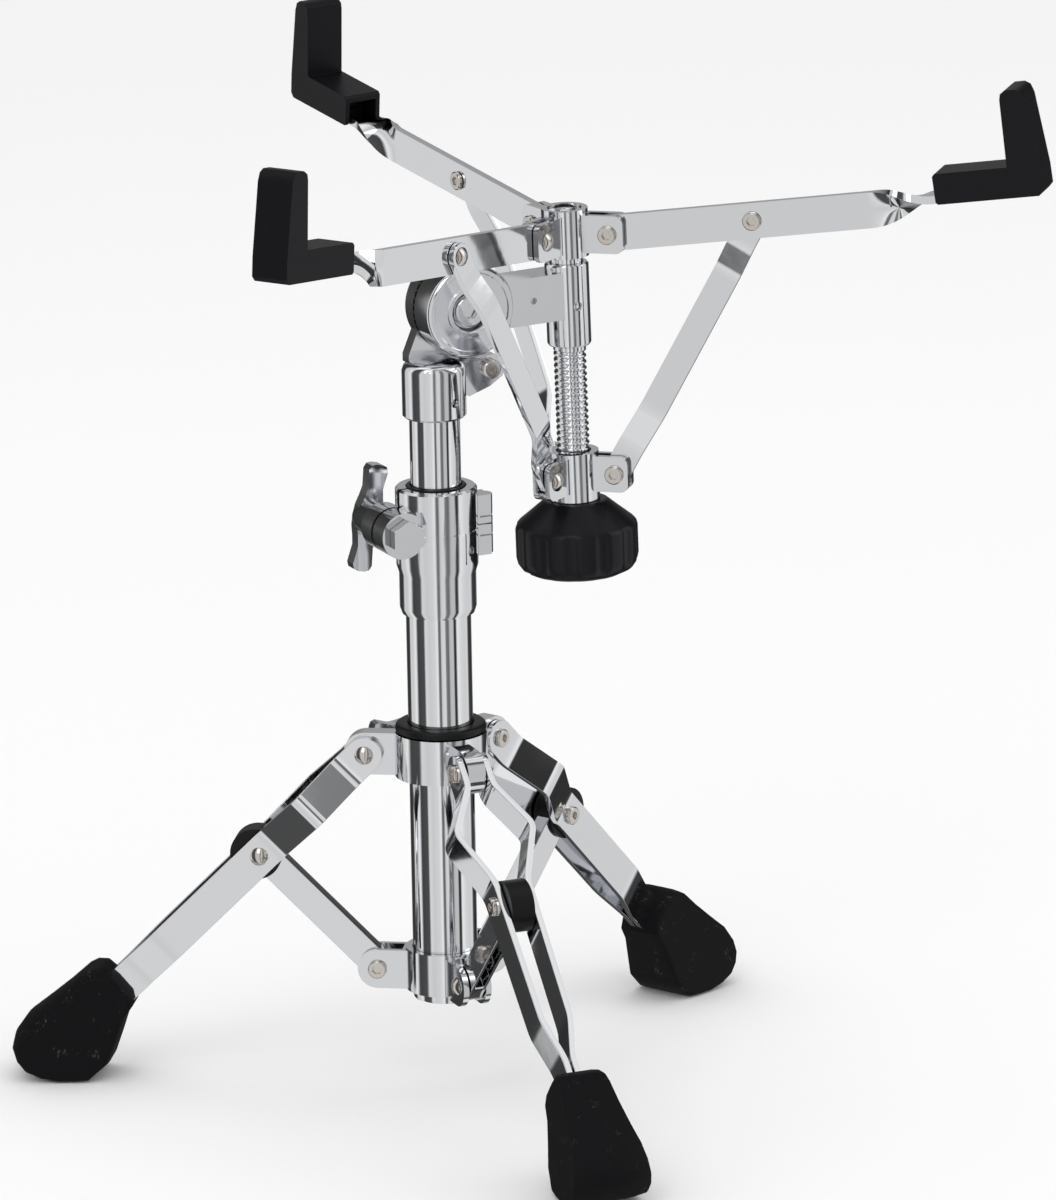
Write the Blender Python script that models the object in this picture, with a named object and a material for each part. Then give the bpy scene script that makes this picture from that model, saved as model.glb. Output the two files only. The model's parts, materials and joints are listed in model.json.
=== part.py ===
"""Snare drum stand: a folding tripod, a telescoping post, a tilter and a three-arm basket.

Built in metres with +Z up. The post axis is vertical, the floor is z = 0, and +X points from the
post to the basket. The basket's own parts are built in a frame whose Z axis is the basket rod.
"""

import math

import bmesh
import bpy
from mathutils import Matrix, Vector

MM = 0.001
GAP = 0.3 * MM                      # clearance between neighbouring pieces

# Post
TUBE_RADIUS = 14.3 * MM
TUBE_WALL = 1.5 * MM
TUBE_BOTTOM = 41.0 * MM
TUBE_TOP = 250.0 * MM
INNER_TUBE_RADIUS = 11.1 * MM
INNER_TUBE_BOTTOM = 78.0 * MM
INNER_TUBE_TOP = 327.0 * MM

# Tripod: the legs' top pivots ride on a sliding collar, the braces' low pivots on a fixed bracket
LEG_AZIMUTHS = (147.0, 27.0, -93.0)
COLLAR_BOTTOM = 143.0 * MM
COLLAR_TOP = 163.0 * MM
COLLAR_RADIUS = 20.5 * MM
COLLAR_BORE = 16.3 * MM
LUG_HALF = 4.0 * MM
LUG_HEIGHT = 19.0 * MM
TOP_PIVOT_R = 33.4 * MM
TOP_PIVOT_Z = 152.4 * MM
MID_PIVOT_R = 81.0 * MM
MID_PIVOT_Z = 105.3 * MM
LOW_PIVOT_R = 29.6 * MM
LOW_PIVOT_Z = 54.0 * MM
STRIP_WIDTH = 16.0 * MM
STRIP_THICK = 2.8 * MM
STRIP_LENGTH = 168.0 * MM
BRACE_WIDTH = 13.0 * MM
BRACE_THICK = 7.0 * MM
BRACKET_BOTTOM = 45.0 * MM
BRACKET_TOP = 64.0 * MM
BRACKET_RADIUS = 17.5 * MM
PIN_RADIUS = 2.2 * MM
PIN_HOLE = 2.55 * MM
WING_BOLT_AZIMUTH = 87.0

# Height clamp at the top of the lower tube
CLAMP_BOTTOM = 217.0 * MM
CLAMP_STEP = 237.5 * MM
CLAMP_TOP = 274.0 * MM
CLAMP_RADIUS = 18.0 * MM
CLAMP_SLEEVE_RADIUS = 16.9 * MM
CLAMP_BOLT_X = -20.7 * MM
CLAMP_BOLT_Z = 256.0 * MM

# Tilter
CAP_BOTTOM = 305.0 * MM
CAP_TOP = 330.0 * MM
CAP_RADIUS = 14.0 * MM
TILT_X = 13.4 * MM
TILT_Z = 352.3 * MM
DISC_RADIUS = 20.7 * MM
BASKET_TILT = -1.36                 # degrees about Y: the rod's foot leans away from the post

# Basket, in its own frame: origin on the rod's axis at the arm pivots' height
ROD_X = 64.2 * MM
HUB_Z = 380.2 * MM
ROD_RADIUS = 7.2 * MM
ROD_BORE = 4.6 * MM
ROD_TOP = 8.5 * MM
ROD_BOTTOM = -147.0 * MM
SLEEVE_RADIUS = 9.7 * MM
SLEEVE_TOP = -13.5 * MM
SLEEVE_BOTTOM = -50.5 * MM
ARM_AZIMUTHS = (-42.5, 97.0, 210.5)
STRUT_SIDES = (1, -1, 1)            # which side of its arm each strut runs on
ARM_PIVOT_R = 20.5 * MM
ARM_RISE = 6.9                      # degrees above the basket's own level
ARM_WIDTH = 15.8 * MM
ARM_THICK = 3.5 * MM
ARM_TWIST_START = 118.0 * MM        # along the arm from its pivot
ARM_TWIST_END = 148.0 * MM
ARM_END = 189.0 * MM
FLAT_END_Z = 3.0 * MM               # height of the arm's flat end over its middle line
FLAT_END_HALF = 6.3 * MM
STRUT_REACH = 65.4 * MM             # arm pivot to strut pivot, along the arm
STRUT_WIDTH = 12.0 * MM
STRUT_THICK = 2.8 * MM
STRUT_FOOT_R = 19.6 * MM
STRUT_FOOT_Z = -108.0 * MM
GRIP_INNER = 150.5 * MM             # along the arm from its pivot
GRIP_WALL = 184.0 * MM
GRIP_OUTER = 198.5 * MM
GRIP_HEIGHT = 47.0 * MM
GRIP_BASE_HEIGHT = 13.6 * MM
GRIP_WIDTH = 18.0 * MM
KNOB_TOP = -120.5 * MM

# The finished model stands with the middle of its box over the origin.
STAND_SHIFT = Vector((-26.26 * MM, -8.18 * MM, 0.0))

COLOURS = {
    "chrome": ((0.62, 0.63, 0.65, 1.0), 0.12, 1.0),
    "rubber": ((0.02, 0.02, 0.025, 1.0), 0.7, 0.0),
    "plastic": ((0.015, 0.015, 0.018, 1.0), 0.45, 0.0),
}


# ---------------------------------------------------------------- general helpers

def clear_scene():
    for old in list(bpy.data.objects):
        bpy.data.objects.remove(old, do_unlink=True)


def material(name, kind):
    colour, roughness, metallic = COLOURS[kind]
    mat = bpy.data.materials.new(name)
    mat.use_nodes = True
    shader = mat.node_tree.nodes["Principled BSDF"]
    shader.inputs["Base Color"].default_value = colour
    shader.inputs["Roughness"].default_value = roughness
    shader.inputs["Metallic"].default_value = metallic
    return mat


def mesh_object(name, bm, place, kind=None):
    """Turn a bmesh into an object standing at the given matrix."""
    bmesh.ops.remove_doubles(bm, verts=bm.verts[:], dist=1e-6)
    bmesh.ops.recalc_face_normals(bm, faces=bm.faces[:])
    mesh = bpy.data.meshes.new(name)
    bm.to_mesh(mesh)
    bm.free()
    obj = bpy.data.objects.new(name, mesh)
    bpy.context.scene.collection.objects.link(obj)
    obj.matrix_world = place
    if kind is None:
        obj.hide_render = True
        obj.display_type = "WIRE"
    else:
        mesh.materials.append(material(name + "_mat", kind))
        mesh.shade_smooth()
        mesh.set_sharp_from_angle(angle=math.radians(35))
    return obj


def boolean(obj, other, operation):
    mod = obj.modifiers.new(operation.lower(), "BOOLEAN")
    mod.operation = operation
    mod.solver = "EXACT"
    mod.object = other
    return obj


def cut(obj, *cutters):
    for cutter in cutters:
        boolean(obj, cutter, "DIFFERENCE")
    return obj


def join(obj, *others):
    for other in others:
        boolean(obj, other, "UNION")
    return obj


def at(x, y, z):
    return Matrix.Translation((x, y, z))


def turned(degrees, axis="Z"):
    return Matrix.Rotation(math.radians(degrees), 4, axis)


def circle_points(radius, count, start=0.0, sweep=2 * math.pi):
    closed = abs(sweep - 2 * math.pi) < 1e-9
    steps = count if closed else count - 1
    return [(radius * math.cos(start + sweep * i / steps), radius * math.sin(start + sweep * i / steps))
            for i in range(count)]


def revolve(name, profile, place, kind=None, count=32):
    """Turn a closed (radius, z) outline about Z. Points at radius 0 become single poles."""
    bm = bmesh.new()
    rings = []
    for radius, z in profile:
        if radius <= 0:
            rings.append([bm.verts.new((0, 0, z))])
        else:
            rings.append([bm.verts.new((x, y, z)) for x, y in circle_points(radius, count)])
    pairs = list(zip(rings, rings[1:] + rings[:1]))
    for low, high in pairs:
        if len(low) == 1 and len(high) == 1:
            continue
        for i in range(count):
            j = (i + 1) % count
            if len(low) == 1:
                bm.faces.new((low[0], high[j], high[i]))
            elif len(high) == 1:
                bm.faces.new((low[i], low[j], high[0]))
            else:
                bm.faces.new((low[i], low[j], high[j], high[i]))
    return mesh_object(name, bm, place, kind)


def tube_profile(outer, inner, bottom, top):
    return [(inner, bottom), (outer, bottom), (outer, top), (inner, top)]


def cylinder(name, radius, bottom, top, place, kind=None, count=20):
    profile = [(0, bottom), (radius, bottom), (radius, top), (0, top)]
    return revolve(name, profile, place, kind, count)


def prism(name, outline, low, high, place, kind=None):
    """Extrude a flat outline in the local XY plane from z = low to z = high."""
    bm = bmesh.new()
    bottom = [bm.verts.new((x, y, low)) for x, y in outline]
    top = [bm.verts.new((x, y, high)) for x, y in outline]
    bm.faces.new(bottom[::-1])
    bm.faces.new(top)
    count = len(outline)
    for i in range(count):
        j = (i + 1) % count
        bm.faces.new((bottom[i], bottom[j], top[j], top[i]))
    return mesh_object(name, bm, place, kind)


def box(name, low, high, place, kind=None):
    outline = [(low[0], low[1]), (high[0], low[1]), (high[0], high[1]), (low[0], high[1])]
    return prism(name, outline, low[2], high[2], place, kind)


def stadium(x0, x1, radius, count=9):
    """A slot outline along X between two arc centres."""
    right = [(x1 + x, y) for x, y in circle_points(radius, count, -math.pi / 2, math.pi)]
    left = [(x0 + x, y) for x, y in circle_points(radius, count, math.pi / 2, math.pi)]
    return right + left


def bent_strip(name, stations, half_width, thickness, place, kind, round_ends=(True, True), arc=9):
    """A flat bar along local X, bent in the local XZ plane, its width along local Y.

    stations is a list of (x, z) points on the bar's middle line. A round end adds a half disc
    beyond the first or last station.
    """
    points = [Vector((x, z)) for x, z in stations]
    offsets = []
    for i, point in enumerate(points):
        before = (point - points[i - 1]).normalized() if i > 0 else None
        after = (points[i + 1] - point).normalized() if i < len(points) - 1 else None
        first = before or after
        second = after or before
        middle = (first + second).normalized()
        normal = Vector((-middle.y, middle.x))
        offsets.append(normal * (thickness / 2 / middle.dot(first)))
    bm = bmesh.new()
    skins = []
    for sign in (1, -1):
        rows = []
        for point, offset in zip(points, offsets):
            x, z = point + offset * sign
            rows.append([bm.verts.new((x, -half_width, z)), bm.verts.new((x, half_width, z))])
        skins.append(rows)
    caps = [[[], []], [[], []]]
    for end, index in ((0, 0), (1, len(points) - 1)):
        if not round_ends[end]:
            continue
        side = -1 if end == 0 else 1
        for skin in (0, 1):
            base = skins[skin][index]
            z = base[0].co.z
            x0 = base[0].co.x
            for k in range(1, arc - 1):
                angle = -math.pi / 2 + math.pi * k / (arc - 1)
                x = x0 + side * half_width * math.cos(angle)
                caps[end][skin].append(bm.verts.new((x, half_width * math.sin(angle), z)))
    for skin, rows in enumerate(skins):
        for a, b in zip(rows, rows[1:]):
            bm.faces.new((a[0], b[0], b[1], a[1]) if skin == 0 else (a[1], b[1], b[0], a[0]))
        for end, index in ((0, 0), (1, len(points) - 1)):
            if caps[end][skin]:
                bm.faces.new([rows[index][0]] + caps[end][skin] + [rows[index][1]])
    top, low = skins
    for i in range(len(points) - 1):
        for edge in (0, 1):
            bm.faces.new((top[i][edge], top[i + 1][edge], low[i + 1][edge], low[i][edge]))
    for end, index in ((0, 0), (1, len(points) - 1)):
        chain_top = [top[index][0]] + caps[end][0] + [top[index][1]]
        chain_low = [low[index][0]] + caps[end][1] + [low[index][1]]
        for k in range(len(chain_top) - 1):
            bm.faces.new((chain_top[k], chain_top[k + 1], chain_low[k + 1], chain_low[k]))
    return mesh_object(name, bm, place, kind)


def rivet(name, place, half_length, kind="chrome", radius=PIN_RADIUS, head=4.0 * MM, height=1.6 * MM):
    """A pivot pin along local Z with a domed head on each end."""
    profile = [(0, -half_length - height), (head * 0.6, -half_length - height * 0.75),
               (head, -half_length), (radius, -half_length), (radius, half_length),
               (head, half_length), (head * 0.6, half_length + height * 0.75),
               (0, half_length + height)]
    return revolve(name, profile, place, kind, 14)


def empty(name, location):
    obj = bpy.data.objects.new(name, None)
    obj.empty_display_size = 0.01
    obj.location = location
    bpy.context.scene.collection.objects.link(obj)
    return obj


def carry(parent, parent_place, *children):
    """Parent pieces to an axis empty without moving them."""
    for child in children:
        child.parent = parent
        child.matrix_parent_inverse = parent_place.inverted()


# ---------------------------------------------------------------- post and height clamp

def build_post():
    revolve("lower_tube", tube_profile(TUBE_RADIUS, TUBE_RADIUS - TUBE_WALL, TUBE_BOTTOM, TUBE_TOP),
            Matrix(), "chrome", 40)


def build_height_clamp():
    """A split collar on the lower tube, closed on the upper tube by a bolt and a wing nut."""
    profile = [(0, CLAMP_BOTTOM), (CLAMP_SLEEVE_RADIUS - 1 * MM, CLAMP_BOTTOM),
               (CLAMP_SLEEVE_RADIUS, CLAMP_BOTTOM + 3 * MM), (CLAMP_SLEEVE_RADIUS, CLAMP_STEP - 1 * MM),
               (CLAMP_RADIUS, CLAMP_STEP), (CLAMP_RADIUS, CLAMP_TOP - 1 * MM),
               (CLAMP_RADIUS - 1 * MM, CLAMP_TOP), (0, CLAMP_TOP)]
    clamp = revolve("height_clamp", profile, Matrix(), "chrome", 40)
    bolt_place = at(CLAMP_BOLT_X, 0, CLAMP_BOLT_Z) @ turned(90, "X")
    boss = cylinder("clamp_boss", 10.3 * MM, -11.5 * MM, 11.5 * MM, bolt_place, None, 24)
    hinge = box("clamp_hinge", (14 * MM, -5 * MM, 241 * MM), (25 * MM, 5 * MM, 268 * MM), Matrix())
    knuckle = cylinder("clamp_knuckle", 4.5 * MM, 241 * MM, 268 * MM, at(22.5 * MM, 0, 0), None, 16)
    bore = cylinder("clamp_bore", 14.6 * MM, 210 * MM, TUBE_TOP + 1 * MM, Matrix(), None, 40)
    upper_bore = cylinder("clamp_upper_bore", 13.4 * MM, TUBE_TOP, 290 * MM, Matrix(), None, 40)
    slit = box("clamp_slit", (-34 * MM, -0.8 * MM, 243 * MM), (-5 * MM, 0.8 * MM, 290 * MM), Matrix())
    hole = cylinder("clamp_bolt_hole", 3.4 * MM, -20 * MM, 20 * MM, bolt_place)
    join(clamp, boss, hinge, knuckle)
    cut(clamp, bore, upper_bore, slit, hole)
    revolve("clamp_bushing", tube_profile(13.1 * MM, INNER_TUBE_RADIUS + GAP, 252 * MM, 272 * MM),
            Matrix(), "plastic", 32)
    build_clamp_bolt(bolt_place)


def build_clamp_bolt(bolt_place):
    """A hexagon bolt from the -Y side, and the wing nut that draws it up on the +Y side."""
    hexagon = [(7.9 * MM * math.cos(math.radians(30 + 60 * i)),
                7.9 * MM * math.sin(math.radians(30 + 60 * i)))
               for i in range(6)]
    bolt = prism("clamp_bolt", hexagon, 11.8 * MM, 16.8 * MM, bolt_place, "chrome")
    join(bolt, cylinder("clamp_bolt_shank", 3.0 * MM, -24 * MM, 13 * MM, bolt_place, None, 16))
    nut_place = bolt_place @ turned(180, "Y")
    nut = wing_head("clamp_wing_nut", nut_place, 11.9 * MM, 13 * MM, 24 * MM, 12)
    cut(nut, cylinder("clamp_nut_bore", 3.3 * MM, 5 * MM, 40 * MM, nut_place, None, 16))


def wing_head(name, place, base, hub_length, blade, lean):
    """A solid hub along local Z from z = base, with two blades across its far end."""
    far = base + hub_length
    hub = revolve(name, [(0, base), (6.6 * MM, base), (8.4 * MM, base + 2.5 * MM), (7.6 * MM, far),
                         (6.5 * MM, far + 5 * MM), (0, far + 5 * MM)], place, "chrome", 24)
    half = [(-6.0 * MM, 0), (-6.0 * MM, blade * 0.35), (-4.4 * MM, blade * 0.9), (-2 * MM, blade),
            (2 * MM, blade), (4.4 * MM, blade * 0.9), (6.0 * MM, blade * 0.35), (6.0 * MM, 0)]
    outline = half + [(-x, -y) for x, y in half[1:-1]]
    blades = prism(name + "_blades", outline, far, far + 6.5 * MM, place @ turned(lean))
    join(hub, blades)
    return hub


# ---------------------------------------------------------------- tripod

def build_collar():
    """The sliding collar: a ring with three radial lugs, a liner and its locking wing bolt."""
    collar = cylinder("tripod_collar", COLLAR_RADIUS, COLLAR_BOTTOM, COLLAR_TOP, Matrix(), "chrome", 40)
    for k, azimuth in enumerate(LEG_AZIMUTHS):
        lug_place = turned(azimuth) @ at(0, 0, TOP_PIVOT_Z) @ turned(90, "X")
        lug = prism(f"collar_lug_{k}", stadium(18 * MM, TOP_PIVOT_R, LUG_HEIGHT / 2), -LUG_HALF, LUG_HALF,
                    lug_place)
        join(collar, lug)
        cut(collar, cylinder(f"collar_lug_hole_{k}", PIN_HOLE, -9 * MM, 9 * MM,
                             lug_place @ at(TOP_PIVOT_R, 0, 0)))
    radial = turned(WING_BOLT_AZIMUTH) @ at(0, 0, TOP_PIVOT_Z) @ turned(90, "Y")
    join(collar, cylinder("collar_boss", 7 * MM, 17 * MM, 25 * MM, radial, None, 20))
    cut(collar, cylinder("collar_bore", COLLAR_BORE, 130 * MM, 175 * MM, Matrix(), None, 40),
        cylinder("collar_bolt_hole", 3.3 * MM, 15 * MM, 30 * MM, radial))
    liner = [(TUBE_RADIUS + GAP, COLLAR_BOTTOM), (COLLAR_BORE - GAP, COLLAR_BOTTOM),
             (COLLAR_BORE - GAP, COLLAR_TOP + GAP), (19.6 * MM, COLLAR_TOP + GAP),
             (19.6 * MM, COLLAR_TOP + 3 * MM), (18.6 * MM, COLLAR_TOP + 4 * MM),
             (TUBE_RADIUS + GAP, COLLAR_TOP + 4 * MM)]
    revolve("collar_liner", liner, Matrix(), "plastic", 40)
    bolt = wing_head("collar_wing_bolt", radial, 25.4 * MM, 9 * MM, 19 * MM, 8)
    join(bolt, cylinder("collar_bolt_shank", 3.0 * MM, 16.5 * MM, 28 * MM, radial, None, 16))


def build_lower_bracket():
    """The fixed bracket: a ring with three forks that hold the braces' lower pins."""
    bracket = cylinder("lower_bracket", BRACKET_RADIUS, BRACKET_BOTTOM, BRACKET_TOP, Matrix(), "chrome", 40)
    for k, azimuth in enumerate(LEG_AZIMUTHS):
        place = turned(azimuth) @ at(0, 0, LOW_PIVOT_Z) @ turned(90, "X")
        fork = prism(f"bracket_fork_{k}", stadium(14 * MM, LOW_PIVOT_R, 8.8 * MM), -6.5 * MM, 6.5 * MM, place)
        mouth = box(f"bracket_mouth_{k}", (18.6 * MM, -12 * MM, -4 * MM), (45 * MM, 12 * MM, 4 * MM), place)
        hole = cylinder(f"bracket_hole_{k}", PIN_HOLE, -9 * MM, 9 * MM, place @ at(LOW_PIVOT_R, 0, 0))
        join(bracket, fork)
        cut(bracket, mouth, hole)
    cut(bracket, cylinder("bracket_bore", TUBE_RADIUS + GAP, 30 * MM, 80 * MM, Matrix(), None, 40))


def leg_frame(azimuth):
    """Local X runs down the leg from its top pivot, local Z is sideways, local Y is up the leg's face."""
    slope = math.atan2(TOP_PIVOT_Z - MID_PIVOT_Z, MID_PIVOT_R - TOP_PIVOT_R)
    down = Vector((math.cos(slope), 0, -math.sin(slope)))
    across = Vector((0, 1, 0))
    up = across.cross(down)
    local = Matrix((down, up, across)).transposed().to_4x4()
    return turned(azimuth) @ at(TOP_PIVOT_R, 0, TOP_PIVOT_Z) @ local


def build_leg(k, azimuth):
    frame = leg_frame(azimuth)
    mid = math.hypot(MID_PIVOT_R - TOP_PIVOT_R, MID_PIVOT_Z - TOP_PIVOT_Z)
    pieces = []
    for side, letter in ((1, "a"), (-1, "b")):
        stations = [(0, 5.8), (11, 5.8), (33, 18.0), (59, 7.4), (mid / MM + 8, 7.2), (128, 6.6),
                    (147, 1.9), (STRIP_LENGTH / MM, 1.9)]
        path = [(x * MM, side * z * MM) for x, z in stations]
        strip = bent_strip(f"leg_{k}_strip_{letter}", path, STRIP_WIDTH / 2, STRIP_THICK, frame, "chrome",
                           (True, False))
        cut(strip, cylinder(f"leg_{k}_top_hole_{letter}", PIN_HOLE, -12 * MM, 12 * MM, frame),
            cylinder(f"leg_{k}_mid_hole_{letter}", PIN_HOLE, -12 * MM, 12 * MM, frame @ at(mid, 0, 0)))
        pieces.append(strip)
    pieces.append(rivet(f"leg_{k}_top_pin", frame, 7.5 * MM))
    pieces.append(rivet(f"leg_{k}_mid_pin", frame @ at(mid, 0, 0), 9.0 * MM))
    pieces.append(build_foot(k, azimuth, frame))
    axis_place = at(*(frame.translation))
    axis = empty(f"leg_{k}_axis", frame.translation)
    carry(axis, axis_place, *pieces)


def build_foot(k, azimuth, frame):
    """A rubber boot: a wedge that widens towards its outer end, with a pocket for the leg."""
    outline = [(154, 0), (196, 0), (199.5, 4), (199.5, 13), (196, 20.5), (180, 34), (157, 51),
               (146, 54.5), (132.2, 43.2), (131.5, 34)]
    bm = bmesh.new()
    rows = []
    for side in (-1, 1):
        row = []
        for r, z in outline:
            half = 9.6 + 4.4 * (r - 131) / 68 + 4.2 * (55 - z) / 55
            row.append(bm.verts.new((r * MM, side * half * MM, z * MM)))
        rows.append(row)
        face = bm.faces.new(row)
        bmesh.ops.triangulate(bm, faces=[face])
    count = len(outline)
    for i in range(count):
        j = (i + 1) % count
        bm.faces.new((rows[0][i], rows[0][j], rows[1][j], rows[1][i]))
    foot = mesh_object(f"foot_{k}", bm, turned(azimuth), "rubber")
    low = (130 * MM, -STRIP_WIDTH / 2 - GAP, -3.7 * MM)
    high = (STRIP_LENGTH + GAP, STRIP_WIDTH / 2 + GAP, 3.7 * MM)
    cut(foot, box(f"foot_pocket_{k}", low, high, frame))
    return foot


def build_brace(k, azimuth):
    """The brace: a channel with round ends, held in the bracket's fork, and its black end cap."""
    low = Vector((LOW_PIVOT_R, 0, LOW_PIVOT_Z))
    high = Vector((MID_PIVOT_R, 0, MID_PIVOT_Z))
    along = (high - low).normalized()
    across = Vector((0, 1, 0))
    local = Matrix((along, across.cross(along), across)).transposed().to_4x4()
    frame = turned(azimuth) @ at(*low) @ local
    length = (high - low).length
    half = BRACE_THICK / 2
    brace = prism(f"brace_{k}", stadium(0, length, BRACE_WIDTH / 2), -half, half, frame, "chrome")
    channel = box(f"brace_channel_{k}", (9 * MM, -4.7 * MM, -2.1 * MM),
                  (length - 13 * MM, 10 * MM, 2.1 * MM), frame)
    cut(brace, channel, cylinder(f"brace_low_hole_{k}", PIN_HOLE, -9 * MM, 9 * MM, frame),
        open_pivot_slot(f"brace_slot_{k}", frame, length))
    cap_centre = frame @ at(length + 1.5 * MM, 1.5 * MM, 0)
    cap = cylinder(f"brace_cap_{k}", 11.5 * MM, -5.3 * MM, 5.3 * MM, cap_centre, "plastic", 24)
    pocket = prism(f"brace_cap_pocket_{k}", stadium(length - 40 * MM, length, BRACE_WIDTH / 2 + GAP),
                   -half - GAP, half + GAP, frame)
    cut(cap, pocket, open_pivot_slot(f"brace_cap_slot_{k}", frame, length))
    pin = rivet(f"brace_{k}_low_pin", frame, 6.8 * MM)
    axis = empty(f"brace_{k}_axis", frame.translation)
    carry(axis, at(*frame.translation), brace, cap)
    return pin


def open_pivot_slot(name, frame, length):
    """The brace's upper hole is a slot: folding shifts the leg's pin a few millimetres in it."""
    tilt = math.degrees(math.atan2(2.1, 3.4))
    return prism(name, stadium(-3.6 * MM, 0, 2.9 * MM), -9 * MM, 9 * MM,
                 frame @ at(length, 0, 0) @ turned(-tilt))


# ---------------------------------------------------------------- upper tube and tilter

def basket_frame():
    return at(ROD_X, 0, HUB_Z) @ turned(BASKET_TILT, "Y")


def build_upper_post():
    tube = revolve("upper_tube", tube_profile(INNER_TUBE_RADIUS, INNER_TUBE_RADIUS - TUBE_WALL,
                                              INNER_TUBE_BOTTOM, INNER_TUBE_TOP), Matrix(), "chrome", 36)
    profile = [(0, CAP_BOTTOM), (CAP_RADIUS - 1 * MM, CAP_BOTTOM),
               (CAP_RADIUS, CAP_BOTTOM + 1.5 * MM), (CAP_RADIUS, CAP_TOP - 4 * MM),
               (CAP_RADIUS - 1.5 * MM, CAP_TOP - 1 * MM), (CAP_RADIUS - 4 * MM, CAP_TOP), (0, CAP_TOP)]
    cap = revolve("tilter_cap", profile, Matrix(), "chrome", 36)
    tilt_place = at(TILT_X, 0, TILT_Z) @ turned(90, "X")
    flange = cylinder("tilter_flange", DISC_RADIUS, -12.5 * MM, -3.4 * MM, tilt_place, None, 36)
    neck = prism("tilter_neck", [(-9.5 * MM, 328.5 * MM), (24 * MM, 328.5 * MM), (26 * MM, 338 * MM),
                                 (22 * MM, 345 * MM), (-4 * MM, 345 * MM), (-9.5 * MM, 332 * MM)],
                 -11.5 * MM, -4.0 * MM, turned(90, "X"))
    lug = prism("tilter_lug", [(8 * MM, 316 * MM), (14 * MM, 313 * MM), (31 * MM, 322 * MM),
                               (31 * MM, 330 * MM), (8 * MM, 329 * MM)], -4.6 * MM, 6.5 * MM, turned(90, "X"))
    join(cap, flange, neck, lug)
    tube_clearance = cylinder("cap_bore", INNER_TUBE_RADIUS + GAP, 290 * MM, INNER_TUBE_TOP + GAP,
                              Matrix(), None, 36)
    bolt_hole = cylinder("flange_hole", 5.3 * MM, -20 * MM, 0, tilt_place)
    screw_place = at(24 * MM, 0, 325.5 * MM) @ turned(90, "X")
    screw_hole = cylinder("lug_hole", 2.3 * MM, -1.8 * MM, 10 * MM, screw_place)
    set_hole = cylinder("cap_set_hole", 1.8 * MM, 5 * MM, 20 * MM, at(4 * MM, 0, 313 * MM) @ turned(90, "X"))
    cut(cap, tube_clearance, bolt_hole, screw_hole, set_hole)
    screw = socket_screw("tilter_lock_screw", screw_place, 6.8 * MM, 3.6 * MM, 2.0 * MM, 8 * MM)
    bolt = socket_screw("tilter_bolt", tilt_place, 8.2 * MM, 7.0 * MM, 5.0 * MM, 22.5 * MM)
    axis = empty("basket_turn_axis", Vector((0, 0, CAP_BOTTOM)))
    carry(axis, at(0, 0, CAP_BOTTOM), cap, screw, bolt)
    return tube


def socket_screw(name, place, seat, head, shank, length):
    """A screw along local Z with its head's underside at z = seat and a hexagon socket."""
    profile = [(0, seat - length), (shank, seat - length), (shank, seat), (head, seat),
               (head, seat + 2.4 * MM), (head - 0.8 * MM, seat + 3 * MM), (0, seat + 3 * MM)]
    screw = revolve(name, profile, place, "chrome", 20)
    socket = [(head * 0.48 * math.cos(math.radians(60 * i)), head * 0.48 * math.sin(math.radians(60 * i)))
              for i in range(6)]
    cut(screw, prism(name + "_socket", socket, seat + 1.2 * MM, seat + 6 * MM, place))
    return screw


def build_tilter_arm():
    """Serrated disc, short arm and the sleeve that holds the basket rod, as one casting."""
    frame = basket_frame()
    centre = frame.inverted() @ Vector((TILT_X, 0, TILT_Z))
    disc_place = frame @ at(*centre) @ turned(90, "X")
    arm = revolve("tilter_arm", [(5.3 * MM, -2.8 * MM), (DISC_RADIUS, -2.8 * MM), (DISC_RADIUS, 10.5 * MM),
                                 (DISC_RADIUS - 1.5 * MM, 12 * MM), (8 * MM, 12 * MM), (8 * MM, 7.5 * MM),
                                 (5.3 * MM, 7.5 * MM)], disc_place, "chrome", 40)
    block = box("tilter_block", (centre.x + 17 * MM, -8 * MM, -37.5 * MM),
                (-3 * MM, 8 * MM, -16.5 * MM), frame)
    sleeve = cylinder("tilter_sleeve", SLEEVE_RADIUS, SLEEVE_BOTTOM, SLEEVE_TOP, frame, None, 32)
    bore = cylinder("tilter_rod_bore", ROD_RADIUS + GAP, SLEEVE_BOTTOM - 5 * MM, SLEEVE_TOP + 5 * MM, frame,
                    None, 32)
    front = at(0.4 * MM, 0, -32 * MM) @ turned(90, "X")
    sleeve_hole = cylinder("sleeve_set_hole", 1.8 * MM, 1 * MM, 15 * MM, frame @ front @ turned(8), None, 12)
    block_hole = cylinder("block_set_hole", 1.5 * MM, 4 * MM, 15 * MM, frame @ at(-20 * MM, 0, -27 * MM)
                          @ turned(90, "X"), None, 12)
    flange_room = cylinder("tilter_flange_room", DISC_RADIUS + 2 * GAP, -16 * MM, -2.8 * MM, disc_place,
                           None, 40)
    cut(block, flange_room)
    join(arm, block, sleeve)
    cut(arm, block_hole, sleeve_hole, bore)
    rod_profile = [(ROD_BORE, ROD_BOTTOM), (ROD_RADIUS, ROD_BOTTOM),
                   (ROD_RADIUS, ROD_TOP), (ROD_BORE, ROD_TOP)]
    rod = revolve("basket_rod", rod_profile, frame, "chrome", 32)
    axis = empty("tilt_axis", Vector((TILT_X, 0, TILT_Z)))
    carry(axis, at(TILT_X, 0, TILT_Z), arm, rod)


# ---------------------------------------------------------------- basket

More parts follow.
